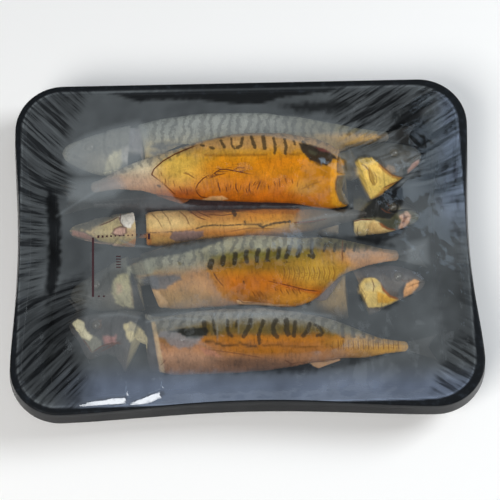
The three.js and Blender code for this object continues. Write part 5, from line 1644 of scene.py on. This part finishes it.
# Pale creases of the film, by the photograph's pixels: knots, half width and strength. Their pale lines
# are painted highlights, laid into the fog.
FILM_CREASE_HIGHLIGHTS = [
    ([(150, 316), (190, 313), (230, 314), (300, 313), (330, 316)], 2.2, 0.2),
    ([(146, 322), (170, 318), (205, 320)], 1.2, 0.25), ([(214, 314), (217, 326), (218, 340)], 0.7, 0.3),
    ([(227, 314), (226, 326)], 0.7, 0.3), ([(238, 315), (239, 333)], 0.7, 0.25),
    ([(252, 315), (252, 328)], 0.7, 0.2), ([(313, 242), (312, 254)], 0.8, 0.25),
    ([(335, 172), (352, 160), (349, 150)], 1.2, 0.12),
    ([(352, 205), (345, 213), (325, 216), (300, 222)], 1.5, 0.18),
    ([(57, 216), (75, 204), (98, 190)], 1.5, 0.14), ([(120, 240), (135, 246), (150, 247)], 1.0, 0.25),
    ([(330, 152), (345, 158), (352, 164)], 1.5, 0.15), ([(402, 182), (412, 174), (424, 160)], 1.3, 0.2),
    ([(380, 262), (395, 256), (412, 250)], 1.3, 0.15), ([(140, 318), (120, 314), (100, 316)], 1.6, 0.16),
    *[([(340 + 9 * k, 127 + 3 * k), (352 + 10 * k, 112 + 3 * k), (364 + 11 * k, 98 + 2 * k)], 0.6,
        0.13) for k in range(9)],
    *[([(318 + 9 * k, 122 + k), (326 + 9 * k, 110 + k)], 0.5, 0.09) for k in range(7)],
]

# Where the film is gathered in pleats: outline, depth and soft edge, by the same pixels.
PLEATED = {
    "far right corner": ([(330, 86), (400, 80), (445, 84), (462, 110), (470, 190), (466, 206), (436, 200),
        (402, 165), (345, 150)], 1.0, 11),
    "right end": ([(452, 206), (472, 206), (482, 330), (460, 336)], 0.4, 6),
    "left end": ([(15, 95), (60, 84), (92, 88), (80, 108), (60, 150), (72, 186), (50, 205), (40, 290),
        (12, 300)], 0.9, 8),
    "near left corner": ([(8, 300), (48, 292), (80, 276), (84, 310), (70, 345), (84, 380), (74, 414),
        (5, 416)], 1.0, 7),
    "near right corner": ([(482, 330), (452, 340), (440, 365), (432, 392), (482, 398)], 0.8, 7),
    "big fish's gills": ([(330, 150), (345, 150), (352, 168), (335, 172)], 0.5, 6),
    "big fish's jaw": ([(392, 150), (430, 150), (428, 182), (405, 186)], 0.6, 8),
}


def pleat_lines(plan):
    """How far a point lies across and along the pleats, which are level at the ends of the pack
    and lean at its corners."""
    x, y = plan[:, 0], plan[:, 1]
    lean = np.where(x > 0, PLEAT_LEAN_RIGHT, PLEAT_LEAN_LEFT)
    lean = lean * smooth_step(np.abs(y), 0.0, PLEAT_LEAN_FULL)
    along = TRAY_LENGTH / 2 - np.abs(x)
    return y + lean * np.sign(y) * along, along


def film_cloud():
    """Clear film with a fog of moisture on its underside, painted bluer where it stands for the sky's
    reflection, and its own gloss over both.
    """
    material, tree, output = blank_material("clear_film")
    at = add_node(tree, "TexCoord").outputs["Object"]
    veil = kept(tree, "veil")
    blue = kept(tree, "sky_tint")
    drift = noise(tree, at, 45.0, 5.0, 0.6)
    beads = noise(tree, at, 700.0, 3.0)
    swing = plus(tree, times(tree, drift, 0.5), 0.72)
    swing = plus(tree, swing, times(tree, beads, 0.06))
    fog = times(tree, veil, swing, clamp=True)
    pleated = kept(tree, "pleated")
    lines_at = kept(tree, "pleats_at", "Vector")
    lines = noise(tree, lines_at, 190.0, 4.0, 0.65)
    dark = times(tree, range_to_share(tree, lines, 0.54, 0.41), 0.95)
    pale = times(tree, range_to_share(tree, lines, 0.54, 0.68), 0.5)
    change = times(tree, sum_of(tree, "SUBTRACT", pale, dark), pleated)
    fog = times(tree, fog, plus(tree, change, 1.0), clamp=True)
    relief = plus(tree, times(tree, times(tree, lines, pleated), 4.5), beads)
    # The fog is painted bluer where it stands for the sky's reflection.
    haze_and_sky_colour = blend_colours(tree, blue, paint(*HAZE_GREY), paint(*SKY_REFLECTION_BLUE))
    bump = add_node(tree, "Bump", Strength=0.12, Distance=0.0002, Height=relief)
    haze = {"Base_Color": haze_and_sky_colour, "Roughness": 0.75, "Specular_IOR_Level": 0.0}
    haze = add_node(tree, "BsdfPrincipled", **haze)
    clear = add_node(tree, "BsdfTransparent")
    see = tree.nodes.new("ShaderNodeMixShader")
    tree.links.new(fog, see.inputs[0])
    tree.links.new(clear.outputs[0], see.inputs[1])
    tree.links.new(haze.outputs[0], see.inputs[2])
    gloss = add_node(tree, "BsdfGlossy", Roughness=0.06, Normal=bump.outputs["Normal"])
    sheet = kept(tree, "sheet")
    doubled = kept(tree, "doubled")
    edge = plus(tree, add_node(tree, "Fresnel", IOR=1.5).outputs[0], doubled)
    edge = times(tree, edge, sheet, clamp=True)
    shine = tree.nodes.new("ShaderNodeMixShader")
    tree.links.new(edge, shine.inputs[0])
    tree.links.new(see.outputs[0], shine.inputs[1])
    tree.links.new(gloss.outputs[0], shine.inputs[2])
    tree.links.new(shine.outputs[0], output.inputs["Surface"])
    return material


def sky_shares(seen):
    """Where the sky's reflection is painted into the film's fog: along the near wall, and in the far right
    corner.
    """
    x, y = seen.T
    near = smooth_step(y, *NEAR_SKY_ROWS) * smooth_step(x, *NEAR_SKY_COLUMNS)
    end = smooth_step(x, *END_SKY_COLUMNS) * (1 - smooth_step(y, *END_SKY_ROWS))
    return near, end


def film_lift(seen, plan, inward):
    """The film's smooth waves inside the seal, and its folds beside it."""
    wave = sum(high * soft_noise(plan, size, seed) for high, size, seed in WAVES)
    lift = smooth_step(inward, WAVES_FROM, WAVES_TO) * wave
    for knots in FILM_FOLDS:
        at_x, crest, wide = np.array(knots, float).T
        crest = np.interp(seen[:, 0], at_x, crest)
        wide = np.interp(seen[:, 0], at_x, wide, left=0.01, right=0.01)
        off = (seen[:, 1] - crest) / wide
        ridge = np.clip(1 - np.where(off > 0, off, -off / FOLD_FAR_SIDE), 0, 1) * (wide > 0.02)
        lift += FOLD_SLOPE * wide * ridge
    return lift


def film_fog(seen, plan, inward, pleated):
    """How thick the fog on the film is, from 0 to 1, with the painted sky reflection and the painted
    highlights of its creases laid in.
    """
    veil = VEIL * (1 + 0.10 * soft_noise(plan, 0.06, 5) + 0.06 * soft_noise(plan, 0.018, 6))
    for outline, share, soft in FOGGED_PATCHES.values():
        veil = np.maximum(veil, share * patch_share(seen, outline, soft))
    for outline, clearness, soft in CLEAR_PATCHES.values():
        ragged = 0.25 * soft * soft_noise(plan, 0.008, 9)
        veil *= 1 - clearness * patch_share(seen, outline, soft, ragged)
    near, end = sky_shares(seen)
    # Thicker fog along the near wall and in the far right corner: painted reflection of the sky.
    veil *= (1 + NEAR_SKY_REFLECTION * near + END_SKY_REFLECTION * end) * (1 - PLEAT_THINNING * pleated)
    # Painted highlights along the film's creases.
    for knots, half, strong in FILM_CREASE_HIGHLIGHTS:
        veil += strong * hump(line_gap(seen, knots)[0], 0, half)
    return veil + SEAL_FOG * hump(inward, SEAL_FOG_AT, SEAL_FOG_WIDTH)


def glare_share(seen, plan):
    """The extra gloss of the film where it lies double."""
    doubled = np.zeros(len(seen))
    for outline in DOUBLED:
        ragged = inside_by(seen, outline) + GLARE_RAGGED * soft_noise(plan * (0.3, 1), 0.0022, 12)
        doubled = np.maximum(doubled, GLARE * smooth_step(ragged, *GLARE_EDGE))
    return doubled * (GLARE_LEAST + (1 - GLARE_LEAST) * smooth_step(seen[:, 0], *GLARE_COLUMNS))


film_net, net_cell = drape(fish_pieces)
film_x, film_y = film_places()
film_z = net_value(film_net, net_cell, film_x, film_y)
bm = bmesh.new()
lay_grid(bm, np.dstack((film_x, film_y, film_z)))
bmesh.ops.recalc_face_normals(bm, faces=bm.faces)
film = finish_piece("film_sheet", bm, [film_cloud()])
points = vertex_places(film.data)
plan = points[:, :2]
seen = in_photo(points)
wide_end = WIDE_SEAL * smooth_step(plan[:, 0], 0.14, 0.18)
inward = inside_rim(plan[:, 0], plan[:, 1], SEAL_WIDTH) - wide_end
points[:, 2] += film_lift(seen, plan, inward)
film.data.vertices.foreach_set("co", points.ravel())
film.data.update()
pleated = np.zeros(len(points))
for outline, depth, soft in PLEATED.values():
    pleated = np.maximum(pleated, depth * patch_share(seen, outline, soft))
sheet = smooth_step(inward, -0.0012, 0.0002)
across, along = pleat_lines(plan)
pleats_at = np.column_stack((across, PLEAT_STRETCH * along, 0 * along))
write_values(film.data, "veil", "FLOAT", np.clip(film_fog(seen, plan, inward, pleated) * sheet, 0, 1))
write_values(film.data, "sheet", "FLOAT", sheet)
write_values(film.data, "pleated", "FLOAT", pleated)
write_values(film.data, "pleats_at", "FLOAT_VECTOR", pleats_at)
write_values(film.data, "sky_tint", "FLOAT", np.clip(sum(sky_shares(seen)), 0, 1))
write_values(film.data, "doubled", "FLOAT", glare_share(seen, plan))
film.visible_shadow = False
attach(film, "root")
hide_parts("film")

# ---- The date code ---------------------------------------------------------------------------
# Dark ink stamped on the film at the left: a rule, a row of dots that ends in a thicker mark,
# and a small column of bars. They are plain shapes and spell nothing.
INK = (46, 20, 26)
PALE_INK_SHARE = 1.8
INK_LIFT = 0.0002
# By the photograph's pixels. A line has its start, its end and its width.
RULE_X, RULE_TOP, RULE_FOOT = 93, 237.5, 297
DOT_COUNT, DOT_STEP, DOT_LENGTH, DOT_ROW_RISE = 12, 4.3, 2.2, 0.2
DOT_WIDTH, DOT_THINNING, LEAST_DOT = 3.0, 0.3, 1.4
BAR_LEFT, BAR_RIGHT, BAR_TOP, BAR_STEP = 116.2, 120.8, 256.5, 2.7


def dot_line(k):
    """Dot k of the row: each is a little higher, shorter and thinner than the one before."""
    start = RULE_X + DOT_STEP * k
    y = RULE_TOP - 0.5 - DOT_ROW_RISE * k
    return (start, y), (start + DOT_LENGTH - 0.1 * k, y), max(LEAST_DOT, DOT_WIDTH - DOT_THINNING * k)


RULE = ((RULE_X, RULE_TOP), (RULE_X, RULE_FOOT), 2.3)
DOTS = [dot_line(k) for k in range(1, DOT_COUNT + 1)]
END_MARK = ((149, 233.5), (149, 239.5), 2.6)
LOW_DOTS = [((x, RULE_FOOT - 0.6), (x + 1.8, RULE_FOOT - 0.8), 1.6) for x in (98, 103)]
BAR_ROWS = [BAR_TOP + BAR_STEP * k for k in range(5)]
BARS = [((BAR_LEFT, y), (BAR_RIGHT, y), 1.1) for y in BAR_ROWS]


def on_film(pixel):
    """The point of the film that shows at one pixel of the photograph."""
    middle = PHOTO_SIZE / 2
    ray = np.array([(pixel[0] - middle) / PHOTO_FOCAL, (middle - pixel[1]) / PHOTO_FOCAL, -1])
    ray = np.array(camera_axes) @ ray
    height = RIM_HEIGHT
    for _ in range(4):
        place = CAMERA_AT + ray * (height - CAMERA_AT[2]) / ray[2]
        height = float(net_value(film_net, net_cell, place[:1], place[1:2])[0])
    return place + (0, 0, INK_LIFT)


bm = bmesh.new()
for start, end, wide in [RULE, END_MARK, *DOTS, *LOW_DOTS, *BARS]:
    run = np.subtract(end, start)
    steps = max(2, int(np.hypot(*run) / 2))
    aside = np.array([-run[1], run[0]]) / np.hypot(*run) * wide / 2
    middle = [start + run * t for t in np.linspace(0, 1, steps)]
    lay_grid(bm, np.array([[on_film(at + way * aside) for at in middle] for way in (-1, 1)]))
bmesh.ops.recalc_face_normals(bm, faces=bm.faces)
material, tree, output = blank_material("dark_ink")
at = add_node(tree, "TexCoord").outputs["Object"]
ink = blend_colours(tree, noise(tree, at, 1800.0), paint(*INK), PALE_INK_SHARE * paint(*INK))
cover(tree, output, Base_Color=ink, Roughness=0.55)
date_code = finish_piece("date_code", bm, [material])
date_code.visible_shadow = False
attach(date_code, "root")

# ---- The studio ------------------------------------------------------------------------------
# A plain pale floor, an even soft sky and wide lamps that stand in for a bright room.
FLOOR_COLOUR = (250, 250, 250)
FLOOR_REACH = 3
AIR_COLOUR, AIR_STRENGTH = (0.94, 0.97, 1.0, 1), 0.07
# Each lamp's place, the point it shines at, its size in metres, its watts and its colour.
LAMPS = {
    "room_lamp": ((-1.0, -1.2, 1.8), (0, 0, 0), (1.2, 1.2), 38, (1.0, 0.98, 0.95)),
    "back_lamp": ((1.65, 0.45, 1.4), (0, 0, 0), (0.9, 0.9), 32, (0.95, 0.98, 1.0)),
    "sky_light": ((0.07, 0.43, 2.2), (0, -0.13, 0.05), (0.60, 0.20), 0.3, (0.84, 0.93, 1.0)),
    "window_light": ((0.62, 0.80, 1.85), (0.18, 0.05, 0.05), (0.40, 0.40), 1.0, (0.62, 0.80, 1.0)),
    "window_gap": ((-0.04, -0.64, 2.2), (-0.11, -0.14, 0.05), (0.95, 0.56), 3.2, (0.94, 0.97, 1.0)),
}

bm = bmesh.new()
bmesh.ops.create_grid(bm, x_segments=2, y_segments=2, size=FLOOR_REACH)
material, tree, output = blank_material("pale_floor")
cover(tree, output, Base_Color=(*paint(*FLOOR_COLOUR), 1), Roughness=0.8)
studio_floor = finish_piece("studio_floor", bm, [material])

world = bpy.data.worlds.new("room_light")
world.use_nodes = True
world.node_tree.nodes["Background"].inputs["Color"].default_value = AIR_COLOUR
world.node_tree.nodes["Background"].inputs["Strength"].default_value = AIR_STRENGTH
bpy.context.scene.world = world
for name, (at, towards, size, power, colour) in LAMPS.items():
    lamp = bpy.data.lights.new(name, "AREA")
    lamp.shape = "RECTANGLE"
    lamp.size, lamp.size_y = size
    lamp.energy = power
    lamp.color = colour
    holder = bpy.data.objects.new(name, lamp)
    place = Matrix.Translation(at)
    turn = Matrix.Translation(towards).translation - place.translation
    holder.matrix_world = place @ turn.to_track_quat("-Z", "Y").to_matrix().to_4x4()
    bpy.context.scene.collection.objects.link(holder)
bpy.context.scene.view_settings.view_transform = "Standard"
